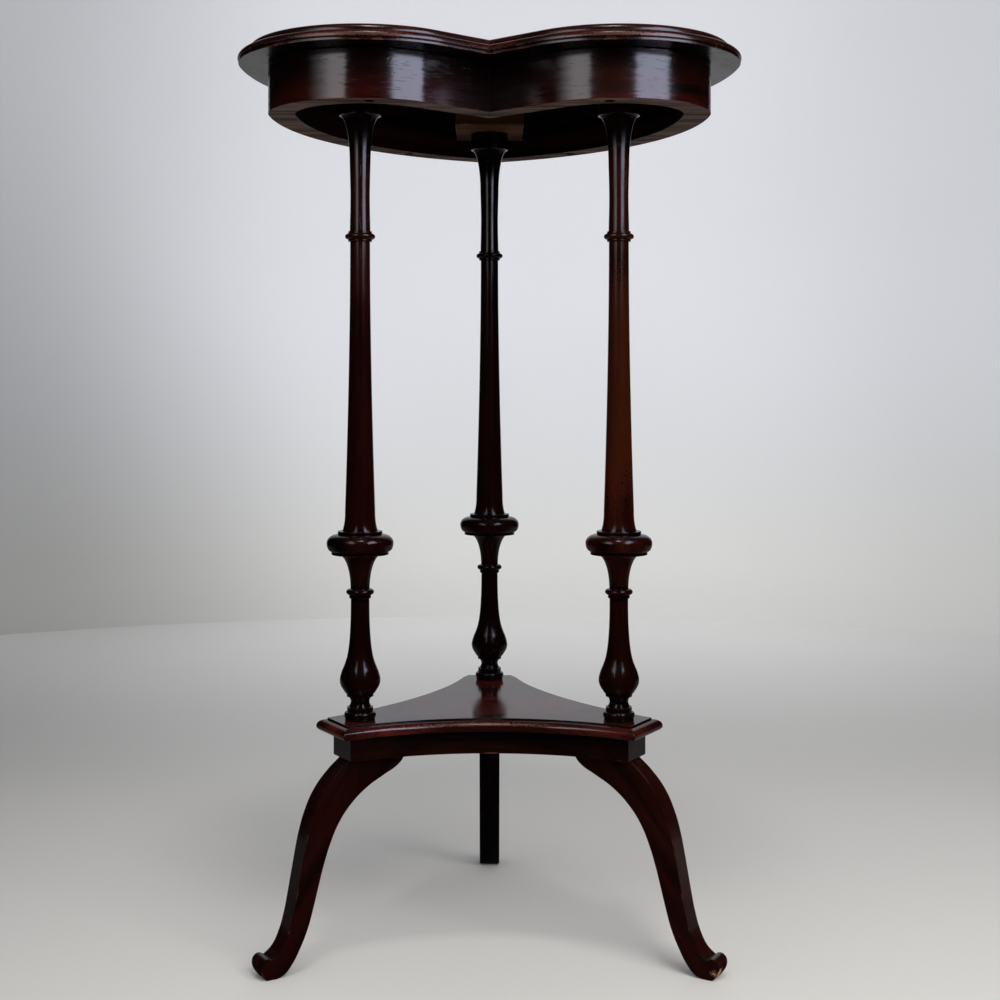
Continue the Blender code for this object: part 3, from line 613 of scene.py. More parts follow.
@dataclass(frozen=True)
class Heart:
    """The heart in plan, as the frieze's outer face: a run from the cusp, a lobe and a side."""

    lobe_radius: float = 0.0802
    lobe_out: float = 0.1015
    lobe_forward: float = 0.0494
    cusp_forward: float = 0.0685
    point_back: float = 0.2166
    side_radius: float = 0.287
    run_steps: int = 6
    lobe_steps: int = 72
    side_steps: int = 60

    def half(self, offset: float) -> list[Vector]:
        """Give the right half of the outline, from the cusp to the back point.

        Args:
            offset: Distance out from the frieze's face.

        Returns:
            Its points, measured from the table's axis.
        """
        lobe = Vector((self.lobe_out, -self.lobe_forward))
        cusp = Vector((0.0, -self.cusp_forward))
        to_lobe = lobe - cusp
        angle = math.atan2(to_lobe.y, to_lobe.x) - math.asin(self.lobe_radius / to_lobe.length)
        run = Vector((math.cos(angle), math.sin(angle)))
        side = self.side_centre(lobe)
        first = math.atan2(-run.x, run.y)
        last = math.atan2(lobe.y - side.y, lobe.x - side.x)
        normal = Vector((run.y, -run.x))
        start = cusp + normal * offset + run * (-normal.x * offset / run.x)
        start.x = 0.0
        lobe_points = arc(lobe, self.lobe_radius + offset, first, last, self.lobe_steps)
        straight = [start.lerp(lobe_points[0], step / self.run_steps)
                    for step in range(self.run_steps)]
        radius = self.side_radius + offset
        side_points = arc(side, radius, last, math.acos(-side.x / radius), self.side_steps)
        side_points[-1].x = 0.0
        return straight + lobe_points + side_points[1:]

    def side_centre(self, lobe: Vector) -> Vector:
        """Find the centre of the side's arc, which ends at the point and touches the lobe.

        Args:
            lobe: Centre of the lobe.

        Returns:
            The centre of the side.
        """
        span = Vector((0.0, self.point_back)) - lobe
        inner = self.side_radius - self.lobe_radius
        along = (inner**2 - self.side_radius**2 + span.length_squared) / (2.0 * span.length)
        across = math.sqrt(inner**2 - along**2)
        ahead = span.normalized()
        return lobe + ahead * along + across * Vector((-ahead.y, ahead.x))

    def whole(self, offset: float) -> list[Vector]:
        """Give the closed outline.

        Args:
            offset: Distance out from the frieze's face.

        Returns:
            Its points, in the part's frame.
        """
        right = self.half(offset)
        left = [Vector((-place.x, place.y)) for place in reversed(right[1:-1])]
        return [place + AXIS.to_2d() for place in right + left]


@dataclass
class Wiring:
    """Adds nodes to one node tree and joins them."""

    tree: bpy.types.NodeTree

    def feed(self, socket: Socket, value: Feed) -> None:
        """Join a socket to another, or set it to a value.

        Args:
            socket: The input.
            value: What it takes. Nothing leaves it as it is.
        """
        if isinstance(value, bpy.types.NodeSocket):
            self.tree.links.new(value, socket)
        elif value is not None:
            socket.default_value = value

    def add(self, kind: str, feeds: Feeds | None = None, **settings: object) -> bpy.types.Node:
        """Add a node.

        Args:
            kind: Blender's name for the node type.
            feeds: What each named or numbered input takes.
            **settings: Properties of the node itself.

        Returns:
            The node.
        """
        node = self.tree.nodes.new(kind)
        for key, value in settings.items():
            setattr(node, key, value)
        for key, value in (feeds or {}).items():
            self.feed(node.inputs[key], value)
        return node

    def out(self, output: str | int, kind: str, feeds: Feeds | None = None,
            **settings: object) -> Socket:
        """Add a node and give one of its outputs."""
        return self.add(kind, feeds, **settings).outputs[output]

    def surface(self, shade: Socket) -> None:
        """Make a shader's output the material's surface."""
        self.feed(self.tree.nodes["Material Output"].inputs["Surface"], shade)

    def group(self, tree: bpy.types.NodeTree, feeds: Feeds) -> bpy.types.NodeOutputs:
        """Place a shader group and give its outputs."""
        return self.add("ShaderNodeGroup", feeds, node_tree=tree).outputs

    def math(self, operation: str, *values: Feed, clamp: bool = False) -> Socket:
        """Add a sum of one or more values, kept from 0 to 1 if it is clamped."""
        return self.out(0, "ShaderNodeMath", dict(enumerate(values)), operation=operation,
                        use_clamp=clamp)

    def times(self, first: Feed, second: Feed) -> Socket:
        """Multiply two values."""
        return self.math("MULTIPLY", first, second)

    def vector(self, operation: str, *values: Feed) -> Socket:
        """Add a sum of one or two vectors, and give its vector."""
        return self.out("Vector", "ShaderNodeVectorMath", dict(enumerate(values)),
                        operation=operation)

    def scaled(self, vector: Feed, factor: Feed) -> Socket:
        """Multiply a vector by a number."""
        return self.out("Vector", "ShaderNodeVectorMath", {0: vector, "Scale": factor},
                        operation="SCALE")

    def along(self, place: Feed, axis: str) -> Socket:
        """Give one coordinate of a place."""
        return self.out(axis, "ShaderNodeSeparateXYZ", {0: place})

    def blend(self, share: Feed, first: Feed, second: Feed) -> Socket:
        """Mix two colours by the share of the second."""
        return self.out(2, "ShaderNodeMix", {0: share, 6: first, 7: second}, data_type="RGBA")

    def span(self, value: Feed, low: Feed, high: Feed, to_low: Feed = 0.0,
             to_high: Feed = 1.0) -> Socket:
        """Carry a value smoothly from the range low to high to another range, and keep it there."""
        feeds = {0: value, 1: low, 2: high, 3: to_low, 4: to_high}
        return self.out("Result", "ShaderNodeMapRange", feeds, interpolation_type="SMOOTHSTEP")

    def noise(self, place: Feed, scale: Feed, detail: float = 2.0, roughness: float = 0.5,
              distortion: float = 0.0) -> Socket:
        """Add a noise pattern.

        Args:
            place: Where on the pattern a point lies.
            scale: Number of features in a metre.
            detail: Number of finer layers.
            roughness: Share of each finer layer.
            distortion: How far it is stirred.

        Returns:
            Its value.
        """
        return self.out("Fac", "ShaderNodeTexNoise", {
            "Vector": place, "Scale": scale, "Detail": detail, "Roughness": roughness,
            "Distortion": distortion,
        })


def new_tree(name: str, kind: str, takes: dict[str, float | Place | str],
             gives: Sequence[str]) -> tuple[Wiring, bpy.types.NodeOutputs, bpy.types.Node]:
    """Start a node tree that others place.

    Args:
        name: Name of the tree.
        kind: Geometry or Shader.
        takes: Each input with the value that it starts with, or with its sort of socket.
        gives: Its outputs.

    Returns:
        The wiring, the sockets that bring the inputs and the node that takes the outputs.
    """
    tree = bpy.data.node_groups.new(name, kind + "NodeTree")
    for label, value in takes.items():
        sort = "Vector" if isinstance(value, tuple) else "Float"
        sort = value if isinstance(value, str) else sort
        socket = tree.interface.new_socket(label, in_out="INPUT", socket_type="NodeSocket" + sort)
        if sort != value:
            socket.default_value = value
    sort = "Geometry" if kind == "Geometry" else "Float"
    for label in gives:
        tree.interface.new_socket(label, in_out="OUTPUT", socket_type="NodeSocket" + sort)
    wiring = Wiring(tree)
    given = wiring.add("NodeGroupInput").outputs
    return wiring, given, wiring.add("NodeGroupOutput")


def new_material(name: str) -> tuple[bpy.types.Material, Wiring, bpy.types.Node]:
    """Start a material.

    Args:
        name: Name of the material.

    Returns:
        The material, its wiring and its shader.
    """
    material = bpy.data.materials.new(name)
    material.use_nodes = True
    return material, Wiring(material.node_tree), material.node_tree.nodes["Principled BSDF"]


def wood_grain() -> bpy.types.NodeTree:
    """Build the grain that every wood here shares, with its fibres along the vector's X.

    Returns:
        The group: broad figure, fine streaks, open pores and the height for a bump.
    """
    takes = {"Vector": ORIGIN, "Figure Scale": 26.0, "Streak Scale": 230.0,
             "Pore Scale": 1300.0, "Pore Share": 0.5, "Wave": 0.35}
    wiring, given, made = new_tree("wood_grain", "Shader", takes,
                                   ("Figure", "Streak", "Pores", "Height"))
    place = given["Vector"]
    figure = wiring.noise(place, given["Figure Scale"], 4.0, 0.55, 0.8)
    ribbon = wiring.noise(place, RIBBON_SCALE, 1.0, 0.5, 1.5)
    broad = wiring.math("MULTIPLY_ADD", ribbon, given["Wave"], figure)
    streak = wiring.noise(place, given["Streak Scale"], 3.0, 0.65)
    pore = wiring.noise(place, given["Pore Scale"], 1.0, 0.6)
    edge = wiring.math("SUBTRACT", PORE_EDGE, wiring.times(given["Pore Share"], PORE_OPENING))
    open_pore = wiring.span(pore, edge, wiring.math("ADD", edge, PORE_BLUR))
    wiring.feed(made.inputs["Figure"], wiring.span(broad, *FIGURE_SPAN))
    wiring.feed(made.inputs["Streak"], wiring.span(streak, *STREAK_SPAN))
    wiring.feed(made.inputs["Pores"], open_pore)
    height = wiring.math("SUBTRACT", wiring.times(streak, STREAK_RELIEF), open_pore)
    wiring.feed(made.inputs["Height"], height)
    return wiring.tree


def edge_wear() -> bpy.types.NodeTree:
    """Build the wear of proud arrises and the dark polish left in hollows.

    Returns:
        The group: how far the wood is rubbed and how much dark polish lies on it.
    """
    takes = {"Vector": ORIGIN, "Arris": 0.0, "Hollow": 0.0, "Wear": 0.5, "Patch Scale": 60.0}
    wiring, given, made = new_tree("edge_wear", "Shader", takes, ("Rubbed", "Grime"))
    patch = wiring.noise(given["Vector"], given["Patch Scale"], 4.0, 0.7)
    speck = wiring.noise(given["Vector"], SPECK_SCALE, 2.0, 0.6)
    uneven = wiring.math("ADD", wiring.times(wiring.span(patch, *PATCH_SPAN), PATCH_SHARE),
                         wiring.times(speck, SPECK_SHARE))
    reach = wiring.times(given["Wear"], wiring.times(uneven, 2.0))
    rubbed = wiring.times(given["Arris"], reach)
    wiring.feed(made.inputs["Rubbed"], wiring.span(rubbed, *RUBBED_SPAN))
    dark = wiring.times(given["Hollow"], wiring.math("ADD", uneven, GRIME_LIFT))
    wiring.feed(made.inputs["Grime"], wiring.span(dark, *GRIME_SPAN))
    return wiring.tree


def handling() -> bpy.types.NodeTree:
    """Build the marks of use: smears in the polish, fine dents and dust on upward faces.

    Returns:
        The group: smear, dent height and dust.
    """
    takes = {"Vector": ORIGIN, "Smear Scale": 22.0, "Dust": 0.2}
    wiring, given, made = new_tree("handling", "Shader", takes, ("Smear", "Dents", "Dust"))
    smear = wiring.noise(given["Vector"], given["Smear Scale"], 3.0, 0.6, 0.6)
    wiring.feed(made.inputs["Smear"], wiring.span(smear, *SMEAR_SPAN))
    dent = wiring.noise(given["Vector"], DENT_SCALE, 1.0)
    wiring.feed(made.inputs["Dents"], wiring.span(dent, *DENT_SPAN))
    upward = wiring.along(wiring.out("Normal", "ShaderNodeNewGeometry"), "Z")
    lint = wiring.noise(given["Vector"], LINT_SCALE, 3.0, 0.75)
    lies = wiring.times(wiring.span(upward, *UPWARD_SPAN), wiring.span(lint, *LINT_SPAN))
    wiring.feed(made.inputs["Dust"], wiring.times(lies, given["Dust"]))
    return wiring.tree


def ragged_spot() -> bpy.types.NodeTree:
    """Build one ragged place in a finish, as a stretched ball round a centre.

    Returns:
        The group: a mask, 1 inside the place.
    """
    takes = {"Vector": ORIGIN, "Centre": ORIGIN, "Size": (0.01, 0.01, 0.01),
             "Grit Scale": 700.0, "Ragged": 0.8}
    wiring, given, made = new_tree("ragged_spot", "Shader", takes, ("Mask",))
    apart = wiring.vector("SUBTRACT", given["Vector"], given["Centre"])
    shares = wiring.vector("DIVIDE", apart, given["Size"])
    far = wiring.out("Value", "ShaderNodeVectorMath", {0: shares}, operation="LENGTH")
    grit = wiring.noise(given["Vector"], given["Grit Scale"], 4.0, 0.7)
    edge = wiring.times(wiring.math("SUBTRACT", grit, 0.5), given["Ragged"])
    wiring.feed(made.inputs["Mask"], wiring.span(wiring.math("ADD", far, edge), *SPOT_SPAN))
    return wiring.tree


@dataclass(frozen=True)
class Effects:
    """The shader groups that the finishes share, each built once."""

    grain: bpy.types.NodeTree = field(default_factory=wood_grain)
    wear: bpy.types.NodeTree = field(default_factory=edge_wear)
    handling: bpy.types.NodeTree = field(default_factory=handling)
    spot: bpy.types.NodeTree = field(default_factory=ragged_spot)


class GrainRun(Enum):
    """Which way the fibres run, as how far the grain is stretched along X, Y and Z."""

    ALONG_X = (16.0, 1.0, 1.0)
    ALONG_Z = (1.0, 1.0, 16.0)
    ROUND_FRIEZE = (16.0, 16.0, 1.0)


# Spots mark wear and chips, and on the frieze and the columns also painted light and painted shade.
@dataclass(frozen=True)
class Spot:
    """A ragged place in the finish: its middle and its half sizes, in metres."""

    centre: Place
    size: Place
    ragged: float = 0.8
    strength: float = 1.0


@dataclass(frozen=True)
class Wood:
    """A wood and its finish.

    Colours are linear. deep and warm are the dark and light of the figure, bare is the wood
    under the polish and grime is the colour of the dark polish that gathers in
    pores and hollows and of painted shade. painted_shade_band gives the heights between which
    painted shade comes in, as under the top. spots are rubbed towards bare wood, and on the
    frieze and the columns they are painted light; painted_shade_spots are painted shade.
    """

    name: str
    deep: Colour
    warm: Colour
    bare: Colour
    grime: Colour = (0.004, 0.0015, 0.001)
    run: GrainRun = GrainRun.ALONG_X
    turn: Place = ORIGIN
    figure_scale: float = 26.0
    streak_scale: float = 230.0
    streak_dark: float = 0.65
    pore_dark: float = 0.75
    roughness: float = 0.16
    specular: float = 0.5
    smear: float = 0.06
    rubbed_dull: float = 0.30
    wear: float = 0.5
    grain_relief: float = 0.00004
    dent_relief: float = 0.00003
    combed: float = 0.0
    combed_scale: float = 450.0
    painted_shade_band: Pair | None = None
    painted_shade_band_share: float = 0.85
    dust: float = 0.15
    spots: tuple[Spot, ...] = ()
    painted_shade_spots: tuple[Spot, ...] = ()

    def material(self, effects: Effects) -> bpy.types.Material:
        """Build the material.

        Args:
            effects: The shared shader groups.

        Returns:
            The material.
        """
        material, wiring, shader = new_material(self.name)
        place = wiring.out("Object", "ShaderNodeTexCoord")
        lined_up = wiring.out(
            "Vector", "ShaderNodeMapping",
            {"Vector": place, "Rotation": self.turn, "Scale": self.run.value},
            vector_type="TEXTURE",
        )
        grain = wiring.group(effects.grain, {
            "Vector": lined_up, "Figure Scale": self.figure_scale,
            "Streak Scale": self.streak_scale,
        })
        wear = wiring.group(effects.wear, {
            "Vector": place, "Wear": self.wear,
            "Arris": wiring.out("Fac", "ShaderNodeAttribute", attribute_name="arris"),
            "Hollow": wiring.out("Fac", "ShaderNodeAttribute", attribute_name="hollow"),
        })
        marks = wiring.group(effects.handling, {"Vector": place, "Dust": self.dust})
        rubbed = wear["Rubbed"]
        # spots add rubbed wear to this mask, and on the frieze and the columns painted light
        for spot in self.spots:
            rubbed = wiring.math("MAXIMUM", rubbed, self.mask(wiring, effects, place, spot))
        deep, warm, bare, grime = ((*tone, 1.0) for tone in
                                   (self.deep, self.warm, self.bare, self.grime))
        pores = wiring.times(grain["Pores"], self.pore_dark)
        layers = [
            (grain["Figure"], warm), (wiring.times(grain["Streak"], self.streak_dark), deep),
            (pores, grime), (wear["Grime"], grime), (rubbed, wiring.blend(pores, bare, warm)),
        ]
        # painted shade: a band of heights and the painted shade spots take the wood towards grime
        if self.painted_shade_band:
            shade = wiring.span(wiring.along(place, "Z"), *self.painted_shade_band)
            layers.append((wiring.times(shade, self.painted_shade_band_share), grime))
        layers += [(self.mask(wiring, effects, place, spot), grime) for spot in self.painted_shade_spots]
        colour = deep
        for share, tone in layers + [(marks["Dust"], DUST_GREY)]:
            colour = wiring.blend(share, colour, tone)
        wiring.feed(shader.inputs["Base Color"], colour)
        smear = wiring.math("ADD", wiring.times(marks["Smear"], self.smear), self.roughness)
        dull = wiring.times(rubbed, self.rubbed_dull)
        wiring.feed(shader.inputs["Roughness"], wiring.math("ADD", smear, dull, clamp=True))
        shader.inputs["Specular IOR Level"].default_value = self.specular
        relief = self.relief(wiring, grain["Height"], marks["Dents"], lined_up)
        wiring.feed(shader.inputs["Normal"], relief)
        return material

    def mask(self, wiring: Wiring, effects: Effects, place: Socket, spot: Spot) -> Socket:
        """Add the mask of one ragged place.

        Args:
            wiring: The material's wiring.
            effects: The shared shader groups.
            place: Object coordinates.
            spot: The ragged place.

        Returns:
            The mask, as high as the place's strength.
        """
        feeds = {"Vector": place, "Centre": spot.centre, "Size": spot.size,
                 "Ragged": spot.ragged}
        return wiring.times(wiring.group(effects.spot, feeds)["Mask"], spot.strength)

    def relief(self, wiring: Wiring, fibres: Socket, dents: Socket, lined_up: Socket) -> Socket:
        """Add the fine relief of the grain and of small dents.

        Args:
            wiring: The material's wiring.
            fibres: Height of the grain.
            dents: Depth of the dents.
            lined_up: Object coordinates turned and stretched along the grain.

        Returns:
            The normal.
        """
        feeds = {"Height": fibres, "Distance": self.grain_relief}
        if self.combed > 0.0:
            facing = wiring.out("Normal", "ShaderNodeNewGeometry")
            sideways = wiring.vector("CROSS_PRODUCT", facing, (0.0, 0.0, 1.0))
            lines = wiring.noise(lined_up, self.combed_scale, 3.0, 0.7)
            lean = wiring.times(wiring.math("SUBTRACT", lines, 0.5), self.combed)
            tilted = wiring.vector("ADD", facing, wiring.scaled(sideways, lean))
            feeds["Normal"] = wiring.vector("NORMALIZE", tilted)
        grained = wiring.out("Normal", "ShaderNodeBump", feeds)
        return wiring.out(
            "Normal", "ShaderNodeBump",
            {"Height": dents, "Distance": self.dent_relief, "Normal": grained}, invert=True,
        )


@dataclass(frozen=True)
class OldSteel:
    """Dull steel of old wood screws, browned in patches."""

    name: str = "steel"
    clean: Colour = (0.16, 0.15, 0.14)
    browned: Colour = (0.035, 0.018, 0.010)
    patch_scale: float = 900.0
    pit_scale: float = 2400.0
    pit_depth: float = 0.00003

    def material(self) -> bpy.types.Material:
        """Build the material.

        Returns:
            The material.
        """
        material, wiring, shader = new_material(self.name)
        place = wiring.out("Object", "ShaderNodeTexCoord")
        patch = wiring.span(wiring.noise(place, self.patch_scale, 4.0, 0.7), 0.4, 0.62)
        colour = wiring.blend(patch, (*self.clean, 1.0), (*self.browned, 1.0))
        wiring.feed(shader.inputs["Base Color"], colour)
        wiring.feed(shader.inputs["Metallic"], wiring.span(patch, 0.0, 1.0, 1.0, 0.3))
        wiring.feed(shader.inputs["Roughness"], wiring.span(patch, 0.0, 1.0, 0.38, 0.75))
        pitted = wiring.out("Normal", "ShaderNodeBump", {
            "Height": wiring.noise(place, self.pit_scale, 3.0), "Distance": self.pit_depth,
        })
        wiring.feed(shader.inputs["Normal"], pitted)
        return material


# Woods and finishes of this table
MAHOGANY_DEEP = (0.0022, 0.0004, 0.0004)
MAHOGANY_WARM = (0.036, 0.0042, 0.0028)
MAHOGANY_BARE = (0.15, 0.046, 0.028)
RUBBED_RED = (0.19, 0.062, 0.034)
CHIPPED_TAN = (0.62, 0.36, 0.22)

TOP_FINISH = Wood(
    name="polished_mahogany_top", deep=(0.013, 0.0020, 0.0014), warm=(0.090, 0.015, 0.009),
    bare=RUBBED_RED, roughness=0.19, wear=0.34, dust=0.03,
    spots=(Spot((-0.101, -0.193, 0.7345), (0.046, 0.020, 0.0020), 3.6, 0.38),
           Spot((0.101, -0.193, 0.7345), (0.030, 0.020, 0.0018), 3.6, 0.42)),
)
UNDERSIDE_FINISH = Wood(
    name="stained_mahogany_underside", deep=(0.006, 0.0018, 0.0011), warm=(0.026, 0.008, 0.0040),
    bare=MAHOGANY_BARE, roughness=0.6, specular=0.08, wear=0.1, grain_relief=0.00008,
)
# The frieze's spot on the front of the right lobe is a painted pool of light; its band under the
# top and its spots in the cusp and on the left flank are painted shade.
FRIEZE_FINISH = Wood(
    name="polished_mahogany_frieze", deep=MAHOGANY_DEEP, warm=MAHOGANY_WARM, bare=MAHOGANY_BARE,
    run=GrainRun.ROUND_FRIEZE, streak_scale=420.0, roughness=0.13, wear=0.35, combed=0.10,
    spots=(Spot((0.097, -0.185, 0.703), (0.030, 0.05, 0.024), 0.8, 0.11),),
    painted_shade_band=(0.694, 0.728),
    painted_shade_spots=(Spot((0.0, -0.115, 0.710), (0.050, 0.050, 0.07), 0.8, 0.85),
              Spot((-0.178, -0.10, 0.722), (0.035, 0.08, 0.034), 0.8, 0.8)),
)
RIM_FINISH = Wood(
    name="sawn_frieze_edge", deep=(0.050, 0.029, 0.023), warm=(0.155, 0.102, 0.086),
    bare=(0.20, 0.12, 0.08), figure_scale=110.0, streak_scale=640.0, streak_dark=0.5,
    roughness=0.7, specular=0.06, wear=0.2, grain_relief=0.00014,
)
# The underside of the top's overhang: the top's own wood, painted near-black as painted shade.
OVERHANG_SHADE_FINISH = Wood(
    name="overhang_painted_shade", deep=(0.0020, 0.0005, 0.0004), warm=(0.008, 0.0018, 0.0014),
    bare=MAHOGANY_BARE, roughness=0.24, specular=0.45, wear=0.2,
)
INSIDE_FINISH = Wood(
    name="stained_frieze_inside", deep=(0.0025, 0.0008, 0.0005), warm=(0.017, 0.0040, 0.0016),
    bare=(0.04, 0.015, 0.008), run=GrainRun.ROUND_FRIEZE, roughness=0.7, specular=0.05,
    wear=0.1, grain_relief=0.00008,
)
BEARER_FINISH = Wood(
    name="bare_bearer_wood", deep=(0.028, 0.010, 0.0035), warm=(0.098, 0.036, 0.013),
    bare=(0.30, 0.15, 0.07), roughness=0.75, specular=0.06, wear=0.3, grain_relief=0.00014,
)
BOARD_FINISH = Wood(
    name="polished_mahogany_board", deep=(0.016, 0.0022, 0.0018), warm=(0.080, 0.0115, 0.0080),
    bare=(0.25, 0.075, 0.024), roughness=0.12, wear=0.24, dust=0.03,
    spots=(Spot((-0.006, -0.115, 0.1915), (0.060, 0.06, 0.0015), 4.2, 0.30),),
)
BLOCK_FINISH = Wood(
    name="dark_polished_mahogany_block", deep=(0.0022, 0.0005, 0.0003),
    warm=(0.012, 0.0024, 0.0014), bare=RUBBED_RED, roughness=0.17, specular=0.38, wear=0.24,
    spots=(Spot((0.002, -0.115, 0.1650), (0.008, 0.06, 0.0012), 0.6, 0.7),),
)
DOWEL_FINISH = Wood(
    name="dowel_wood", deep=(0.30, 0.20, 0.10), warm=(0.50, 0.36, 0.20), bare=(0.5, 0.36, 0.2),
    run=GrainRun.ALONG_Z, roughness=0.7, specular=0.1, wear=0.0,
)
# Each column's tone carries painted light and shade: the right column is painted lighter, where the
# light falls on it, and the back column darker, as painted shade.
COLUMN_LIT_AND_SHADED_TONES: dict[Spoke, tuple[Colour, Colour]] = {
    Spoke.LEFT: ((0.0018, 0.0003, 0.0002), (0.013, 0.0017, 0.0012)),
    Spoke.RIGHT: ((0.0028, 0.0005, 0.0003), (0.026, 0.0036, 0.0020)),
    Spoke.BACK: ((0.0014, 0.0003, 0.0002), (0.008, 0.0013, 0.0010)),
}
# Painted shade: the columns darker towards their feet, and a dark crescent painted for the shade in
# a dent on the left bulb.
COLUMN_FOOT_SHADE = Spot((0.0, 0.0, 0.17), (1.0, 1.0, 0.16), 0.2, 0.6)
LEFT_BULB_PAINTED_DENT_SHADE = Spot((-0.0983, -0.1170, 0.2343), (0.0026, 0.0040, 0.0018), 0.9, 1.0)
# Painted light: lighter, warmer places on the upper shafts and on the right column's middle, where
# the light falls.
COLUMN_LIT_SPOTS: dict[Spoke, tuple[Spot, ...]] = {
    Spoke.LEFT: (Spot((-0.103, -0.104, 0.590), (0.04, 0.04, 0.075), 1.0, 0.030),),
    Spoke.RIGHT: (
        Spot((0.103, -0.104, 0.470), (0.04, 0.04, 0.120), 1.0, 0.095),
        Spot((0.103, -0.104, 0.615), (0.04, 0.04, 0.055), 1.0, 0.050),
    ),
    Spoke.BACK: (),
}


def column_finish(spoke: Spoke) -> Wood:
    """Give the finish of one column, with its own tone and its grain upright.

    Args:
        spoke: Where the column stands.

    Returns:
        Its finish, whose tone and spots carry painted light and shade.
    """
    deep, warm = COLUMN_LIT_AND_SHADED_TONES[spoke]
    return Wood(
        name="dark_polished_mahogany_column_" + spoke.label, deep=deep, warm=warm,
        bare=(0.34, 0.068, 0.020), grime=(0.0022, 0.0005, 0.0004), run=GrainRun.ALONG_Z,
        roughness=0.13, specular=0.34, wear=0.2, streak_dark=0.35, pore_dark=0.15,
        # Painted shade at the foot and in the left bulb's dent, painted light in the spots, which
        # mix towards bare, and a painted shade band under the capital.
        painted_shade_spots=(COLUMN_FOOT_SHADE, LEFT_BULB_PAINTED_DENT_SHADE),
        spots=COLUMN_LIT_SPOTS[spoke], painted_shade_band=(0.645, 0.672),
    )


# The fibres of a leg slope from its seat to its toe, and the right toe is chipped
LEG_GRAIN_SLOPE = math.radians(52.6)
LEG_CHIPS: dict[Spoke, tuple[Spot, ...]] = {
    Spoke.LEFT: (),
    Spoke.RIGHT: (
        Spot((0.1785, -0.1529, 0.0060), (0.0058, 0.0056, 0.0056), 1.2, 1.0),
        Spot((0.1571, -0.1405, 0.0345), (0.0014, 0.0050, 0.0034), 1.2, 0.8),
        Spot((0.1619, -0.1433, 0.0202), (0.0014, 0.0050, 0.0026), 1.2, 0.8),
        Spot((0.1659, -0.1456, 0.0107), (0.0014, 0.0050, 0.0026), 1.2, 0.8),
    ),
    Spoke.BACK: (),
}
# Each leg's tone carries painted light and shade: the right leg is painted lightest and the back
# leg darkest, as painted shade.
LEG_LIT_AND_SHADED_TONES: dict[Spoke, tuple[Colour, Colour]] = {
    Spoke.LEFT: ((0.0050, 0.0008, 0.0009), (0.017, 0.0024, 0.0022)),
    Spoke.RIGHT: ((0.0052, 0.0009, 0.0007), (0.024, 0.0036, 0.0021)),
    Spoke.BACK: ((0.0010, 0.0003, 0.0003), (0.004, 0.0009, 0.0008)),
}
LEG_SPECULAR: dict[Spoke, float] = {Spoke.LEFT: 0.26, Spoke.RIGHT: 0.38, Spoke.BACK: 0.10}


def leg_finish(spoke: Spoke) -> Wood:
    """Give the finish of one leg, with its grain running down from seat to toe.

    Args:
        spoke: Where the leg stands.

    Returns:
        Its finish.
    """
    deep, warm = LEG_LIT_AND_SHADED_TONES[spoke]
    return Wood(
        name="dark_polished_mahogany_leg_" + spoke.label, deep=deep, warm=warm,
        bare=CHIPPED_TAN, turn=(0.0, LEG_GRAIN_SLOPE, spoke.value), roughness=0.16,
        specular=LEG_SPECULAR[spoke], figure_scale=40.0, wear=0.18, streak_dark=0.3, pore_dark=0.5,
        spots=LEG_CHIPS[spoke],
    )


def ended(wiring: Wiring, made: bpy.types.Node, shape: Socket, finish: Socket) -> None:
    """End a tree with real geometry that carries its material.

    Args:
        wiring: The tree's wiring.
        made: The node that takes the tree's output.
        shape: The geometry.
        finish: The material.
    """
    real = wiring.out("Geometry", "GeometryNodeRealizeInstances", {"Geometry": shape})
    finished = wiring.out("Geometry", "GeometryNodeSetMaterial",
                          {"Geometry": real, "Material": finish})
    wiring.feed(made.inputs["Geometry"], finished)


def grown(source: bpy.types.Object, tree: bpy.types.NodeTree,
          sizes: dict[str, object]) -> bpy.types.Mesh:
    """Run a Geometry Nodes tree on an object and give the plain mesh.

    Args:
        source: Object that carries the tree's guide points. It is removed.
        tree: The tree.
        sizes: Value of each named input.

    Returns:
        The plain mesh.
    """
    modifier = source.modifiers.new(tree.name, "NODES")
    modifier.node_group = tree
    for socket in tree.interface.items_tree:
        if socket.in_out == "INPUT" and socket.name in sizes:
            modifier[socket.identifier] = sizes[socket.name]
    return outward(baked(source, source.name))


def turning_tree() -> bpy.types.NodeTree:
    """Build the lathe: it turns a line of radii on the Z axis and sets it on its place.

    Returns:
        The tree. Its guide is a line of points, each with its radius as an attribute.
    """
    takes = {"Geometry": "Geometry", "Facets": "Int", "Place": "Vector", "Finish": "Material"}
    wiring, given, made = new_tree("turning", "Geometry", takes, ("Geometry",))
    turned = wiring.out("Mesh", "GeometryNodeCurveToMesh", {
        "Curve": wiring.out("Curve", "GeometryNodeMeshToCurve", {"Mesh": given["Geometry"]}),
        "Profile Curve": wiring.out("Curve", "GeometryNodeCurvePrimitiveCircle",
                                    {"Resolution": given["Facets"], "Radius": 1.0}),
        "Scale": wiring.out("Attribute", "GeometryNodeInputNamedAttribute",
                            {"Name": "radius"}, data_type="FLOAT"),
        "Fill Caps": True,
    })
    placed = wiring.out("Geometry", "GeometryNodeTransform",
                        {"Geometry": turned, "Translation": given["Place"]})
    ended(wiring, made, placed, given["Finish"])
    return wiring.tree


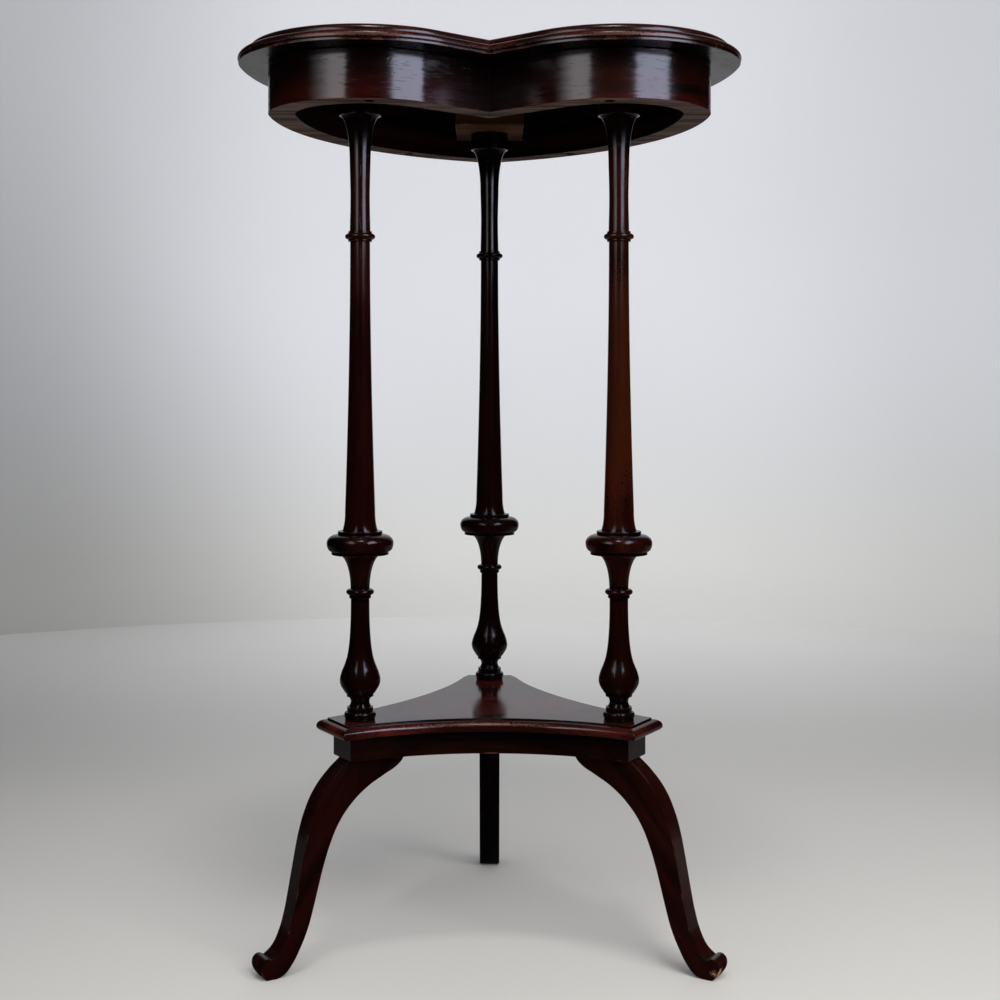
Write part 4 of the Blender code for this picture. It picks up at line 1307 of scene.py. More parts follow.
def screw_tree() -> bpy.types.NodeTree:
    """Build slotted countersunk wood screws, heads down, one on each guide point.

    Returns:
        The tree. Each slot is turned at random from the seed.
    """
    takes = {"Geometry": "Geometry", "Head Radius": "Float", "Head Height": "Float",
             "Shank Radius": "Float", "Length": "Float", "Slot": "Vector", "Seed": "Int",
             "Finish": "Material"}
    wiring, given, made = new_tree("wood_screws", "Geometry", takes, ("Geometry",))
    head = wiring.out("Mesh", "GeometryNodeMeshCone", {
        "Vertices": HEAD_FACETS, "Radius Bottom": given["Head Radius"],
        "Radius Top": given["Shank Radius"], "Depth": given["Head Height"],
    })
    slotted = wiring.out("Mesh", "GeometryNodeMeshBoolean", {
        "Mesh 1": head,
        "Mesh 2": wiring.out("Mesh", "GeometryNodeMeshCube", {"Size": given["Slot"]}),
    }, operation="DIFFERENCE", solver="EXACT")
    shank = wiring.out("Mesh", "GeometryNodeMeshCone", {
        "Vertices": SHANK_FACETS, "Radius Bottom": given["Shank Radius"],
        "Radius Top": wiring.times(given["Shank Radius"], TIP_SHARE),
        "Depth": wiring.math("SUBTRACT", given["Length"], given["Head Height"]),
    })
    lift = wiring.out("Vector", "ShaderNodeCombineXYZ", {"Z": given["Head Height"]})
    raised = wiring.out("Geometry", "GeometryNodeTransform",
                        {"Geometry": shank, "Translation": lift})
    joined = wiring.add("GeometryNodeJoinGeometry", {"Geometry": raised})
    wiring.feed(joined.inputs["Geometry"], slotted)
    spin = wiring.out(1, "FunctionNodeRandomValue", {2: 0.0, 3: math.pi, "Seed": given["Seed"]},
                      data_type="FLOAT")
    screws = wiring.out("Instances", "GeometryNodeInstanceOnPoints", {
        "Points": given["Geometry"], "Instance": joined.outputs["Geometry"],
        "Rotation": wiring.out("Vector", "ShaderNodeCombineXYZ", {"Z": spin}),
    })
    ended(wiring, made, screws, given["Finish"])
    return wiring.tree


@dataclass
class Workshop:
    """What the sub-assemblies share: the shader groups, the trees and the steel of the screws."""

    effects: Effects = field(default_factory=Effects)
    turning: bpy.types.NodeTree = field(default_factory=turning_tree)
    screws: bpy.types.NodeTree = field(default_factory=screw_tree)
    steel: bpy.types.Material = field(default_factory=lambda: OldSteel().material())
    head_radius: float = 0.0038
    head_height: float = 0.0022
    shank_radius: float = 0.0019
    slot: Place = (0.0090, 0.0009, 0.0020)

    def dressed(self, *woods: Wood) -> list[bpy.types.Material]:
        """Build the materials of one piece, in the order of its mesh's material numbers."""
        return [wood.material(self.effects) for wood in woods]

    def put_screws(self, name: str, nodes: Sequence[str], seed: int) -> None:
        """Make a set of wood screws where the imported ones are.

        Args:
            name: Name of the piece.
            nodes: Packed screws.
            seed: Seed for how the slots are turned.
        """
        places = [Vector((*middle_of(node).to_2d(), level(node, False))) for node in nodes]
        length = level(nodes[0], True) - level(nodes[0], False)
        mesh = grown(loose_object(name, drawn(name, places)), self.screws, {
            "Head Radius": self.head_radius, "Head Height": self.head_height,
            "Shank Radius": self.shank_radius, "Length": length, "Slot": self.slot,
            "Seed": seed, "Finish": self.steel,
        })
        hand_over(name, mesh, [self.steel], nodes)


def slab(inner: float, outer: float, high: float, low: float, ease: float,
         closed: bool = False) -> Section:
    """Give the section of a plain edge, from an upper face to an underside.

    Args:
        inner: Distance out where both faces start.
        outer: Distance out of the edge.
        high: Height of the upper face.
        low: Height of the underside.
        ease: Size of the rounding.
        closed: Whether the section is a loop.

    Returns:
        The section.
    """
    return Section(((inner, high), (outer, high), (outer, low), (inner, low)), ease, closed)


@dataclass
class Top:
    """Heart-shaped top with its frieze, bearers and screws. Pairs are (width, height)."""

    heart: Heart = field(default_factory=Heart)
    overhang: float = 0.0247
    upper_ovolo: Pair = (0.0056, 0.0052)
    upper_fillet: float = 0.0007
    step_width: float = 0.0012
    lower_ovolo: Pair = (0.0073, 0.0050)
    nose_height: float = 0.0010
    quirk_depth: float = 0.0014
    quirk_height: float = 0.0006
    under_set_back: float = 0.0006
    flat_margin: float = 0.012
    frieze_thickness: float = 0.022
    frieze_ease: float = 0.0006
    rim_depth: float = 0.0005
    mitre_gap: float = 0.00015
    screw_bore_radius: float = 0.0045
    screw_bore_mouth: float = 0.0012
    bearer_margin: float = 0.004
    bearer_ease: float = 0.0008
    bearer_upright_ease: float = 0.0012
    tenon_bore: float = 0.0103
    tenon_depth: float = 0.0208
    edge_ease: float = 0.0004
    most_strip_corners: int = 8
    steepest_rim: float = -0.8
    flattest_inside: float = 0.3

    def edge(self) -> Section:
        """Give the line of the top's moulded edge, from the upper face to the underside.

        Returns:
            The line, measured out from the frieze's face.
        """
        start = self.overhang - self.upper_ovolo[0] - self.step_width - self.lower_ovolo[0]
        line = Member(start - self.flat_margin, level("tabletop", True))
        line.to(start)
        line.ovolo(*self.upper_ovolo)
        line.to(line.out, self.upper_fillet)
        line.to(line.out + self.step_width)
        line.ovolo(*self.lower_ovolo)
        line.to(self.overhang, self.nose_height)
        line.to(self.overhang - self.quirk_depth, self.quirk_height)
        line.to(self.overhang - self.under_set_back, self.quirk_height)
        line.to(line.out, line.up - level("tabletop", False))
        line.to(-self.frieze_thickness)
        return Section(line.points, self.edge_ease)

    def build_tabletop(self, shop: Workshop) -> None:
        """Make and dress the heart-shaped board.

        Args:
            shop: What the sub-assemblies share.
        """
        mesh = shelled("tabletop", self.heart.whole, self.edge())
        underside = level("tabletop", False) + WELD_DISTANCE
        # The big face of the underside takes the underside's finish, and the strips under the
        # overhang a finish of painted shade.
        for face in mesh.polygons:
            if face.center.z < underside:
                face.material_index = 1 if len(face.vertices) > self.most_strip_corners else 2
        finishes = shop.dressed(TOP_FINISH, UNDERSIDE_FINISH, OVERHANG_SHADE_FINISH)
        hand_over("heart_tabletop", mesh, finishes, ["tabletop"])

    def frieze_mesh(self, node: str, sign: float) -> bpy.types.Mesh:
        """Run the frieze's section along one half of the heart.

        Args:
            node: The half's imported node.
            sign: -1 for left, 1 for right.

        Returns:
            The bored half, with its lower edge on the second material and its inside on the third.
        """
        high, low = level(node, True), level(node, False)
        section = slab(-self.frieze_thickness, 0.0, high, low, self.frieze_ease, closed=True)
        paths = [self.heart.half(point.x) for point in section.points]
        shell = Shell(node)
        for plans in zip(*paths):
            ring = [Vector((sign * max(plan.x, self.mitre_gap), plan.y + AXIS.y, point.y))
                    for point, plan in zip(section.points, plans)]
            shell.ring(ring, section.arris, section.hollow)
        bores = [Bore(self.screw_bore_radius, low - RUN_OUT, level(screw, False),
                      middle_of(screw), self.screw_bore_mouth)
                 for screw in packed("frieze_screw") if middle_of(screw).x * sign > 0.0]
        mesh = bored(shell.mesh(), bores)
        for face in mesh.polygons:
            inwards = face.normal.to_2d().dot((face.center - AXIS).to_2d()) < 0.0
            if face.normal.z < self.steepest_rim and face.center.z < low + self.rim_depth:
                face.material_index = 1
            elif inwards and abs(face.normal.z) < self.flattest_inside:
                face.material_index = 2
        return mesh

    def build_frieze(self, shop: Workshop) -> None:
        """Make and dress the two mitred halves of the frieze.

        Args:
            shop: What the sub-assemblies share.
        """
        finishes = shop.dressed(FRIEZE_FINISH, RIM_FINISH, INSIDE_FINISH)
        for node, sign in (("frieze_left", -1.0), ("frieze_right", 1.0)):
            mesh = self.frieze_mesh(node, sign)
            hand_over("curved_" + node, mesh, finishes, [node])

    def bearer_mesh(self, node: str, spoke: Spoke) -> bpy.types.Mesh:
        """Build one bearer, which takes a column's upper tenon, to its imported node's size.

        Args:
            node: The bearer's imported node.
            spoke: Where it lies.

        Returns:
            The bored bearer.
        """
        corners = [vertex.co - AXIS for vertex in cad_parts[node].data.vertices]
        reaches = [corner.dot(spoke.along) for corner in corners]
        near, far = min(reaches), max(reaches)
        half = max(corner.dot(spoke.across) for corner in corners)

        def outline(offset: float) -> list[Vector]:
            """Give the bearer's plan at an offset, with its upright arrises eased.

            Args:
                offset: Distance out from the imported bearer's sides.

            Returns:
                Its corners, in the part's frame.
            """
            back, front, side = near - offset, far + offset, half + offset
            ends = ((back, -side), (front, -side), (front, side), (back, side))
            plan = eased([Vector(end) for end in ends], self.bearer_upright_ease, True)
            return [spoke.place(corner.x, corner.y).to_2d() for corner in plan]

        high, low = level(node, True), level(node, False)
        section = slab(-self.bearer_margin, 0.0, high, low, self.bearer_ease)
        seat = middle_of("column_" + spoke.label)
        bore = Bore(self.tenon_bore, low - RUN_OUT, low + self.tenon_depth, seat)
        return bored(shelled(node, outline, section), [bore])

    def build(self, shop: Workshop) -> None:
        """Make every piece of the top.

        Args:
            shop: What the sub-assemblies share.
        """
        self.build_tabletop(shop)
        self.build_frieze(shop)
        finishes = shop.dressed(BEARER_FINISH)
        for spoke in Spoke:
            node = "bearer_" + spoke.label
            hand_over("top_" + node, self.bearer_mesh(node, spoke), finishes,
                      [node])
        shop.put_screws("frieze_wood_screws", packed("frieze_screw"), seed=3)


@dataclass
class Columns:
    """The three turned columns. Pairs are (radius, height), and members run from the top down."""

    tenon_radius: float = 0.010
    top_tenon: float = 0.020
    foot_tenon: float = 0.020
    abacus: Pair = (0.0171, 0.0150)
    capital_rim: float = 0.0168
    capital: Pair = (0.0085, 0.0380)
    upper_waist: float = 0.0079
    upper_shaft: Pair = (0.0084, 0.0562)
    ring_fillet: Pair = (0.0097, 0.0018)
    ring_bead: Pair = (0.0123, 0.0047)
    lower_shaft_top: float = 0.0081
    lower_shaft_foot: float = 0.0123
    taper_power: float = 1.75
    flare: Pair = (0.0145, 0.0165)
    flare_power: float = 2.5
    disc_top_fillet: Pair = (0.0182, 0.0029)
    disc_shoulder: float = 0.0188
    disc: Pair = (0.0273, 0.0138)
    disc_foot_fillet: Pair = (0.0233, 0.0025)
    trumpet_rim: float = 0.0180
    trumpet: Pair = (0.0078, 0.0280)
    small_bead_core: float = 0.0082
    small_bead: Pair = (0.01135, 0.0050)
    small_fillet: Pair = (0.0089, 0.0026)
    vase: Pair = (0.0165, 0.0772)
    vase_shares: tuple[Pair, ...] = (
        (0.00, 0.458), (0.20, 0.468), (0.36, 0.500), (0.50, 0.555), (0.62, 0.650),
        (0.70, 0.770), (0.77, 0.905), (0.85, 1.000), (0.92, 0.955), (1.00, 0.730),
    )
    base_fillet: Pair = (0.0109, 0.0029)
    scotia_edge: float = 0.0090
    scotia: Pair = (0.0076, 0.0084)
    collar: Pair = (0.0106, 0.0041)
    torus_core: float = 0.0114
    torus: Pair = (0.0130, 0.0052)
    plinth: Pair = (0.0123, 0.0012)
    facets: int = 72
    waist_steps: int = 8
    shaft_steps: int = 28
    flare_steps: int = 12
    disc_steps: int = 26
    vase_steps: int = 6
    scotia_steps: int = 7
    turned_ease: float = 0.00035

    def profile(self, height: float) -> Section:
        """Build the half profile.

        Args:
            height: Height between the two shoulders.

        Returns:
            The line as (radius, height above the foot), from the upper tenon down.
        """
        line = Member(self.tenon_radius, height + self.top_tenon)
        line.to(self.tenon_radius, self.top_tenon)
        line.fillet(*self.abacus)
        line.to(self.capital_rim)
        line.cavetto(*self.capital)
        half = self.upper_shaft[1] / 2.0
        line.curve(((self.upper_waist, half), (self.upper_shaft[0], 2.0 * half)),
                   self.waist_steps)
        line.fillet(*self.ring_fillet)
        line.bead(self.ring_bead[0], self.ring_fillet[0], self.ring_bead[1])
        line.to(*self.ring_fillet)
        line.to(self.lower_shaft_top)
        foot = self.below_shaft()
        line.taper(self.lower_shaft_foot, line.up - foot, self.taper_power, self.shaft_steps)
        line.taper(*self.flare, self.flare_power, self.flare_steps)
        line.fillet(*self.disc_top_fillet)
        line.to(self.disc_shoulder)
        line.bead(self.disc[0], self.disc_foot_fillet[0], self.disc[1], self.disc_steps)
        line.fillet(*self.disc_foot_fillet)
        line.to(self.trumpet_rim)
        line.cavetto(*self.trumpet)
        line.to(self.small_bead_core)
        line.bead(self.small_bead[0], self.small_bead_core, self.small_bead[1])
        line.fillet(*self.small_fillet)
        self.add_base(line)
        return Section(line.points, self.turned_ease)

    def below_shaft(self) -> float:
        """Give the height of everything under the lower shaft's taper.

        Returns:
            The height.
        """
        members = (self.flare, self.disc_top_fillet, self.disc, self.disc_foot_fillet,
                   self.trumpet, self.small_bead, self.small_fillet, self.vase,
                   self.base_fillet, self.scotia, self.collar, self.torus, self.plinth)
        return sum(member[1] for member in members)

    def add_base(self, line: Member) -> None:
        """Add the vase and the small members under it, down to the foot tenon.

        Args:
            line: The half profile, as far as the vase.
        """
        radius, height = self.vase
        shares = [(radius * wide, height * down) for down, wide in self.vase_shares]
        line.to(shares[0][0])
        line.curve(shares[1:], self.vase_steps)
        line.fillet(*self.base_fillet)
        line.to(self.scotia_edge)
        waist, drop = self.scotia
        line.curve(((waist, drop / 2.0), (self.scotia_edge, drop)), self.scotia_steps)
        line.fillet(*self.collar)
        line.to(self.torus_core)
        line.bead(self.torus[0], self.torus_core, self.torus[1])
        line.fillet(*self.plinth)
        line.to(self.tenon_radius)
        line.to(self.tenon_radius, self.foot_tenon)

    def guide(self, name: str, section: Section) -> bpy.types.Object:
        """Make the lathe's guide: points down the Z axis with radius and wear.

        Args:
            name: Name of the object.
            section: The half profile.

        Returns:
            The guide.
        """
        heights = []
        for point in section.points:
            last = heights[-1] - LEAST_DROP if heights else point.y
            heights.append(min(point.y, last))
        edges = [(index, index + 1) for index in range(len(heights) - 1)]
        mesh = drawn(name, [(0.0, 0.0, height) for height in heights], edges=edges)
        radii = [point.x for point in section.points]
        mark(mesh, radius=radii, arris=section.arris, hollow=section.hollow)
        return loose_object(name, mesh)

    def build(self, shop: Workshop) -> None:
        """Turn and dress the three columns.

        Args:
            shop: What the sub-assemblies share.
        """
        for spoke in Spoke:
            finishes = shop.dressed(column_finish(spoke))
            node = "column_" + spoke.label
            foot = level(node, False) + self.foot_tenon
            height = level(node, True) - self.top_tenon - foot
            mesh = grown(self.guide(node + "_guide", self.profile(height)), shop.turning, {
                "Facets": self.facets, "Place": Vector((*middle_of(node).to_2d(), foot)),
                "Finish": finishes[0],
            })
            hand_over("turned_" + node, mesh, finishes, [node])


@dataclass
class Shelf:
    """Moulded shelf board with its block and screws. Distances run from the upper arris."""

    corner_reach: float = 0.142
    corner_width: float = 0.041
    front_hollow: float = 0.033
    rear_hollow: float = 0.017
    quirk_height: float = 0.0015
    quirk_ledge: float = 0.0008
    thumb: Pair = (0.0066, 0.0052)
    edge_height: float = 0.0014
    undercut: float = 0.0018
    board_ease: float = 0.0003
    block_set_back: float = 0.004
    block_ease: float = 0.0006
    flat_margin: float = 0.010
    corner_ease: float = 0.0005
    tenon_bore: float = 0.0103
    tenon_room: float = 0.0008
    screw_mouth: float = 0.0041
    screw_chamfer: float = 0.0004
    screw_room: float = 0.0003
    side_steps: int = 40
    half_corner: float = math.radians(60.0)

    def side(self, facing: float, hollow: float, offset: float) -> list[Vector]:
        """Give one hollow side at an offset, with points close to both of its ends.

        Args:
            facing: Angle that the side faces.
            hollow: Depth of the hollow in its middle.
            offset: Distance out from the upper arris.

        Returns:
            Its points, from the table's axis, without the eased corners.
        """
        turn = self.half_corner
        half_width = self.corner_width / 2.0
        end_out = self.corner_reach * math.cos(turn) + half_width * math.sin(turn)
        end_along = self.corner_reach * math.sin(turn) - half_width * math.cos(turn)
        radius = (end_along**2 + hollow**2) / (2.0 * hollow)
        centre_out = end_out - hollow + radius
        normal = Vector((math.sin(turn), math.cos(turn)))
        foot = normal * (self.corner_reach + offset)
        along = Vector((-normal.y, normal.x))
        to_foot = foot - Vector((0.0, centre_out))
        b = to_foot.dot(along)
        c = to_foot.length_squared - (radius - offset) ** 2
        end = foot + along * (-b - math.sqrt(b * b - c))
        if end.y > centre_out:
            end = foot + along * (-b + math.sqrt(b * b - c))
        swing = math.atan2(end.x, centre_out - end.y)
        length = 2.0 * swing * (radius - offset)
        near = [(self.corner_ease + gap) / length for gap in (0.0, *SUPPORT_DISTANCES)]
        inner = [step / self.side_steps for step in range(2, self.side_steps - 1)]
        shares = near + inner + [1.0 - share for share in reversed(near)]
        points = []
        for share in (0.0, *shares, 1.0):
            angle = swing * (2.0 * share - 1.0)
            out = centre_out - (radius - offset) * math.cos(angle)
            sideways = (radius - offset) * math.sin(angle)
            points.append(Vector((
                out * math.cos(facing) - sideways * math.sin(facing),
                out * math.sin(facing) + sideways * math.cos(facing),
            )))
        return points

    def outline(self, offset: float) -> list[Vector]:
        """Give the shelf's closed outline at an offset, with its corners eased.

        Args:
            offset: Distance out from the upper arris.

        Returns:
            Its points, in the part's frame.
        """
        hollows = ((Spoke.LEFT, self.front_hollow), (Spoke.RIGHT, self.rear_hollow),
                   (Spoke.BACK, self.rear_hollow))
        sides = [self.side(spoke.value + self.half_corner, hollow, offset)
                 for spoke, hollow in hollows]
        points = []
        for side, following in zip(sides, sides[1:] + sides[:1]):
            canted = (following[0] - side[-1]).normalized()
            start = side[-1] + canted * self.corner_ease
            end = following[0] - canted * self.corner_ease
            points += side[1:-1] + bend(side[-2], side[-1], start)[1:-1]
            points += [start + canted * gap for gap in SUPPORT_DISTANCES]
            points += [end - canted * gap for gap in reversed(SUPPORT_DISTANCES)]
            points += bend(end, following[0], following[1])[1:-1]
        return [point + AXIS.to_2d() for point in points]

    def build_board(self, shop: Workshop) -> None:
        """Make and dress the moulded board.

        Args:
            shop: What the sub-assemblies share.
        """
        high, low = level("shelf_board", True), level("shelf_board", False)
        line = Member(-self.flat_margin, high)
        line.to(0.0)
        line.to(0.0, self.quirk_height)
        line.to(self.quirk_ledge)
        line.ovolo(*self.thumb)
        line.to(line.out, self.edge_height)
        line.to(line.out - self.undercut, line.up - low)
        line.to(-self.flat_margin)
        mesh = shelled("shelf_board", self.outline, Section(line.points, self.board_ease))
        bores = [Bore(self.tenon_bore, low - RUN_OUT, high + RUN_OUT, middle_of(node))
                 for node in COLUMN_NODES]
        hand_over("moulded_shelf_board", bored(mesh, bores), shop.dressed(BOARD_FINISH),
                  ["shelf_board"])

    def build_block(self, shop: Workshop) -> None:
        """Make and dress the plain block under the board.

        Args:
            shop: What the sub-assemblies share.
        """
        high, low = level("shelf_block", True), level("shelf_block", False)
        edge = -self.block_set_back
        section = slab(edge - self.flat_margin, edge, high, low, self.block_ease)
        mesh = shelled("shelf_block", self.outline, section)
        bores = [Bore(self.tenon_bore, level(node, False) - self.tenon_room, high + RUN_OUT,
                      middle_of(node)) for node in COLUMN_NODES]
        tip = low + shop.head_height + self.screw_room
        bores += [Bore(self.screw_mouth, low - RUN_OUT, tip, middle_of(node),
                       self.screw_chamfer) for node in packed("shelf_screw")]
        hand_over("shelf_under_block", bored(mesh, bores), shop.dressed(BLOCK_FINISH),
                  ["shelf_block"])

    def build(self, shop: Workshop) -> None:
        """Make every piece of the shelf.

        Args:
            shop: What the sub-assemblies share.
        """
        self.build_board(shop)
        self.build_block(shop)
        shop.put_screws("shelf_wood_screws", packed("shelf_screw"), seed=8)


# Leg outline: shares of the way from the seat's inner end to the toe, and of the leg's height.
# A corner point is marked 1, and a smooth point is marked 0.
LEG_SHARES = (
    (0.483, 0.941, 0), (0.578, 0.855, 0), (0.640, 0.760, 0), (0.682, 0.660, 0),
    (0.709, 0.565, 0), (0.733, 0.470, 0), (0.758, 0.370, 0), (0.785, 0.275, 0),
    (0.821, 0.190, 0), (0.866, 0.128, 0), (0.921, 0.093, 1), (0.955, 0.104, 0),
    (0.988, 0.092, 0), (1.000, 0.068, 0), (0.990, 0.035, 0), (0.958, 0.000, 1),
    (0.890, 0.000, 1), (0.838, 0.015, 0), (0.789, 0.054, 0), (0.735, 0.122, 0),
    (0.680, 0.215, 0), (0.640, 0.315, 0), (0.605, 0.415, 0), (0.570, 0.510, 0),
    (0.527, 0.605, 0), (0.474, 0.692, 0), (0.395, 0.775, 0), (0.270, 0.858, 0),
    (0.140, 0.912, 0), (0.050, 0.948, 0), (0.004, 0.985, 0),
)


@dataclass
class Legs:
    """The three splayed legs with rolled toes."""

    thickness: float = 0.019
    seat_inner: float = 0.0865
    seat_outer: float = 0.136
    toe_reach: float = 0.2125
    curve_steps: int = 7
    corner_ease: float = 0.0013
    corner_wear: float = 0.6
    arris_ease: float = 0.0006
    cap_inset: float = 0.0010
    least_share: float = 0.5
    untangle_rounds: int = 6

    def outline(self, height: float) -> list[Vector]:
        """Give the leg's closed outline as (reach, height).

        Args:
            height: Height of the seat above the floor.

        Returns:
            Its points, clockwise, with its corners eased.
        """
        curve = bpy.data.curves.new("leg", "CURVE")
        curve.dimensions = "2D"
        curve.fill_mode = "NONE"
        curve.resolution_u = self.curve_steps
        spline = curve.splines.new("BEZIER")
        span = self.toe_reach - self.seat_inner
        places = [(self.seat_inner, height, 1), (self.seat_outer, height, 1)]
        places += [(self.seat_inner + span * way, height * rise, corner)
                   for way, rise, corner in LEG_SHARES]
        spline.bezier_points.add(len(places) - 1)
        for point, (reach, up, corner) in zip(spline.bezier_points, places):
            point.co = (reach, up, 0.0)
            point.handle_left_type = "VECTOR" if corner else "AUTO"
            point.handle_right_type = point.handle_left_type
        spline.use_cyclic_u = True
        mesh = baked(loose_object("leg_curve", curve), "leg_line")
        line = [vertex.co.to_2d() for vertex in mesh.vertices]
        tidy = [point for index, point in enumerate(line)
                if (point - line[index - 1]).length > WELD_DISTANCE]
        return eased(tidy, self.corner_ease, True)

    def inset(self, line: list[Vector], distance: float) -> list[Vector]:
        """Move a clockwise outline inwards.

        Args:
            line: The outline.
            distance: How far in.

        Returns:
            The smaller outline, point by point.
        """
        moved = []
        for index, point in enumerate(line):
            back = (point - line[index - 1]).normalized()
            ahead = (line[(index + 1) % len(line)] - point).normalized()
            normal = Vector((back.y + ahead.y, -back.x - ahead.x))
            share = normal.length_squared / 2.0
            moved.append(point + normal * (distance / max(share, self.least_share)))
        for _ in range(self.untangle_rounds):
            for index in range(len(line)):
                run = moved[index] - moved[index - 1]
                if run.dot(line[index] - line[index - 1]) < 0.0:
                    moved[index] = (moved[index] + moved[index - 1]) / 2.0
                    moved[index - 1] = moved[index].copy()
        return moved

    def leg_mesh(self, node: str, spoke: Spoke) -> bpy.types.Mesh:
        """Build one leg across its thickness.

        Args:
            node: The leg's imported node.
            spoke: Where it stands.

        Returns:
            The closed mesh.
        """
        line = self.outline(level(node, True))
        worn, dark = wear_along(line, True)
        half = self.thickness / 2.0
        section = slab(-self.cap_inset, 0.0, half, -half, self.arris_ease)
        shell = Shell(node)
        last = len(section.points) - 1
        for index, (point, arris) in enumerate(zip(section.points, section.arris)):
            ring = [spoke.place(place.x, point.y, place.y)
                    for place in self.inset(line, -point.x)]
            if index in (0, last):
                shell.ring(ring, [0.0] * len(line), [0.0] * len(line))
            else:
                wear = [min(1.0, arris + self.corner_wear * share) for share in worn]
                shell.ring(ring, wear, dark)
        return shell.mesh()

    def build(self, shop: Workshop) -> None:
        """Make and dress the three legs, and finish the dowels in their seats.

        Args:
            shop: What the sub-assemblies share.
        """
        for spoke in Spoke:
            node = "leg_" + spoke.label
            hand_over("splayed_" + node, self.leg_mesh(node, spoke),
                      shop.dressed(leg_finish(spoke)), [node])
        dowel_wood = DOWEL_FINISH.material(shop.effects)
        for name in packed("leg_dowel"):
            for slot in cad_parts[name].material_slots:
                slot.material = dowel_wood
            LOG.info("%s: kept from the packed part", name)


@dataclass(frozen=True)
class Panel:
    """A tall soft light beside the camera, seen only as a reflection in the polish.

    Its middle and its half sizes are in metres, from the table's axis, and its glow is linear.
    It fades out over the two distances at its end by the camera and at its end by the table.
    """

    name: str
    middle: Place
    half_depth: float
    half_height: float
    glow: Colour
    far_fade: float
    near_fade: float

    def material(self, far: float, near: float) -> bpy.types.Material:
        """Build the panel's glow.

        Args:
            far: Where its end by the camera lies along Y.
            near: Where its end by the table lies along Y.

        Returns:
            The material.
        """
        material, wiring, shader = new_material(self.name + "_glow")
        wiring.tree.nodes.remove(shader)
        along = wiring.along(wiring.out("Object", "ShaderNodeTexCoord"), "Y")
        strength = wiring.times(wiring.span(along, far, far + self.far_fade),
                                wiring.span(along, near, near - self.near_fade))
        glow = wiring.out(0, "ShaderNodeEmission",
                          {"Color": (*self.glow, 1.0), "Strength": strength})
        wiring.surface(glow)
        return material

    def build(self) -> None:
        """Hang the panel where only the polish shows it."""
        middle = Vector(self.middle) + AXIS
        depth = Vector((0.0, self.half_depth, 0.0))
        rise = Vector((0.0, 0.0, self.half_height))
        corners = [middle - depth - rise, middle + depth - rise,
                   middle + depth + rise, middle - depth + rise]
        item = loose_object(self.name, drawn(self.name, corners, [(0, 1, 2, 3)]))
        item.data.materials.append(
            self.material(middle.y - self.half_depth, middle.y + self.half_depth)
        )
        item.visible_camera = False
        item.visible_diffuse = False
        item.visible_shadow = False


@dataclass(frozen=True)
class Lamp:
    """Soft area light: where it hangs, what it points at, its size and its power in watts."""

    name: str
    place: Place
    aim: Place
    size: Pair
    power: float
    colour: Colour
    reflected: bool = True

    def build(self) -> None:
        """Hang the lamp, unseen by the camera."""
        data = bpy.data.lights.new(self.name, "AREA")
        data.shape = "RECTANGLE"
        data.size, data.size_y = self.size
        data.energy = self.power
        data.color = self.colour
        item = loose_object(self.name, data)
        item.location = self.place
        way = Vector(self.aim) - Vector(self.place)
        item.rotation_euler = way.to_track_quat("-Z", "Y").to_euler()
        item.visible_camera = False
        item.visible_glossy = self.reflected


@dataclass(frozen=True)
class PaintedGradient:
    """A soft change of a backdrop's tone along one way.

    It paints the fall-off of light and shade across the backdrop. It starts and ends at two
    distances in metres, and loss is the share of the tone that is gone at its end, below zero where
    the tone rises.
    """

    way: Place
    start: float
    end: float
    loss: float


@dataclass(frozen=True)
class Paper:
    """Pale matt surface of the backdrop, clear from its back, with soft changes of tone.

    Its colour runs from near to far along an axis, between the two places of reach, which on the
    ground paints it lighter near the camera as painted light. painted_gradients paint the fall-off
    of light and shade across it. dims is how much darker it is in the polish than to the eye, in
    front and behind, and glow is the strength of a painted glow that it gives off itself.
    """

    name: str
    near: Colour
    far: Colour
    axis: str
    reach: Pair
    dims: Pair
    glow: float
    painted_gradients: tuple[PaintedGradient, ...]
    dim_reach: Pair = (-0.15, 0.35)
    roughness: float = 0.8
    mottle: float = 0.06
    mottle_scale: float = 2.2

    def material(self) -> bpy.types.Material:
        """Build the material.

        Returns:
            The material.
        """
        material, wiring, shader = new_material(self.name)
        place = wiring.out("Object", "ShaderNodeTexCoord")
        colour = wiring.blend(wiring.span(wiring.along(place, self.axis), *self.reach),
                              (*self.near, 1.0), (*self.far, 1.0))
        mottle = wiring.noise(place, self.mottle_scale, 3.0)
        tone = wiring.math("MULTIPLY_ADD", mottle, self.mottle, 1.0 - self.mottle / 2.0)
        for fall in self.painted_gradients:
            along = wiring.out("Value", "ShaderNodeVectorMath", {0: place, 1: fall.way},
                               operation="DOT_PRODUCT")
            lost = wiring.times(wiring.span(along, fall.start, fall.end), fall.loss)
            tone = wiring.times(tone, wiring.math("SUBTRACT", 1.0, lost))
        depth = wiring.span(wiring.along(place, "Y"), *self.dim_reach, *self.dims)
        dimmed = wiring.times(wiring.out("Is Glossy Ray", "ShaderNodeLightPath"), depth)
        toned = wiring.scaled(colour, wiring.times(tone, wiring.math("SUBTRACT", 1.0, dimmed)))
        wiring.feed(shader.inputs["Base Color"], toned)
        wiring.feed(shader.inputs["Emission Color"], toned)
        shader.inputs["Emission Strength"].default_value = self.glow
        shader.inputs["Roughness"].default_value = self.roughness
        shader.inputs["Specular IOR Level"].default_value = 0.0
        both = wiring.out(0, "ShaderNodeMixShader", {
            0: wiring.out("Backfacing", "ShaderNodeNewGeometry"), 1: shader.outputs[0],
            2: wiring.out(0, "ShaderNodeBsdfTransparent"),
        })
        wiring.surface(both)
        return material
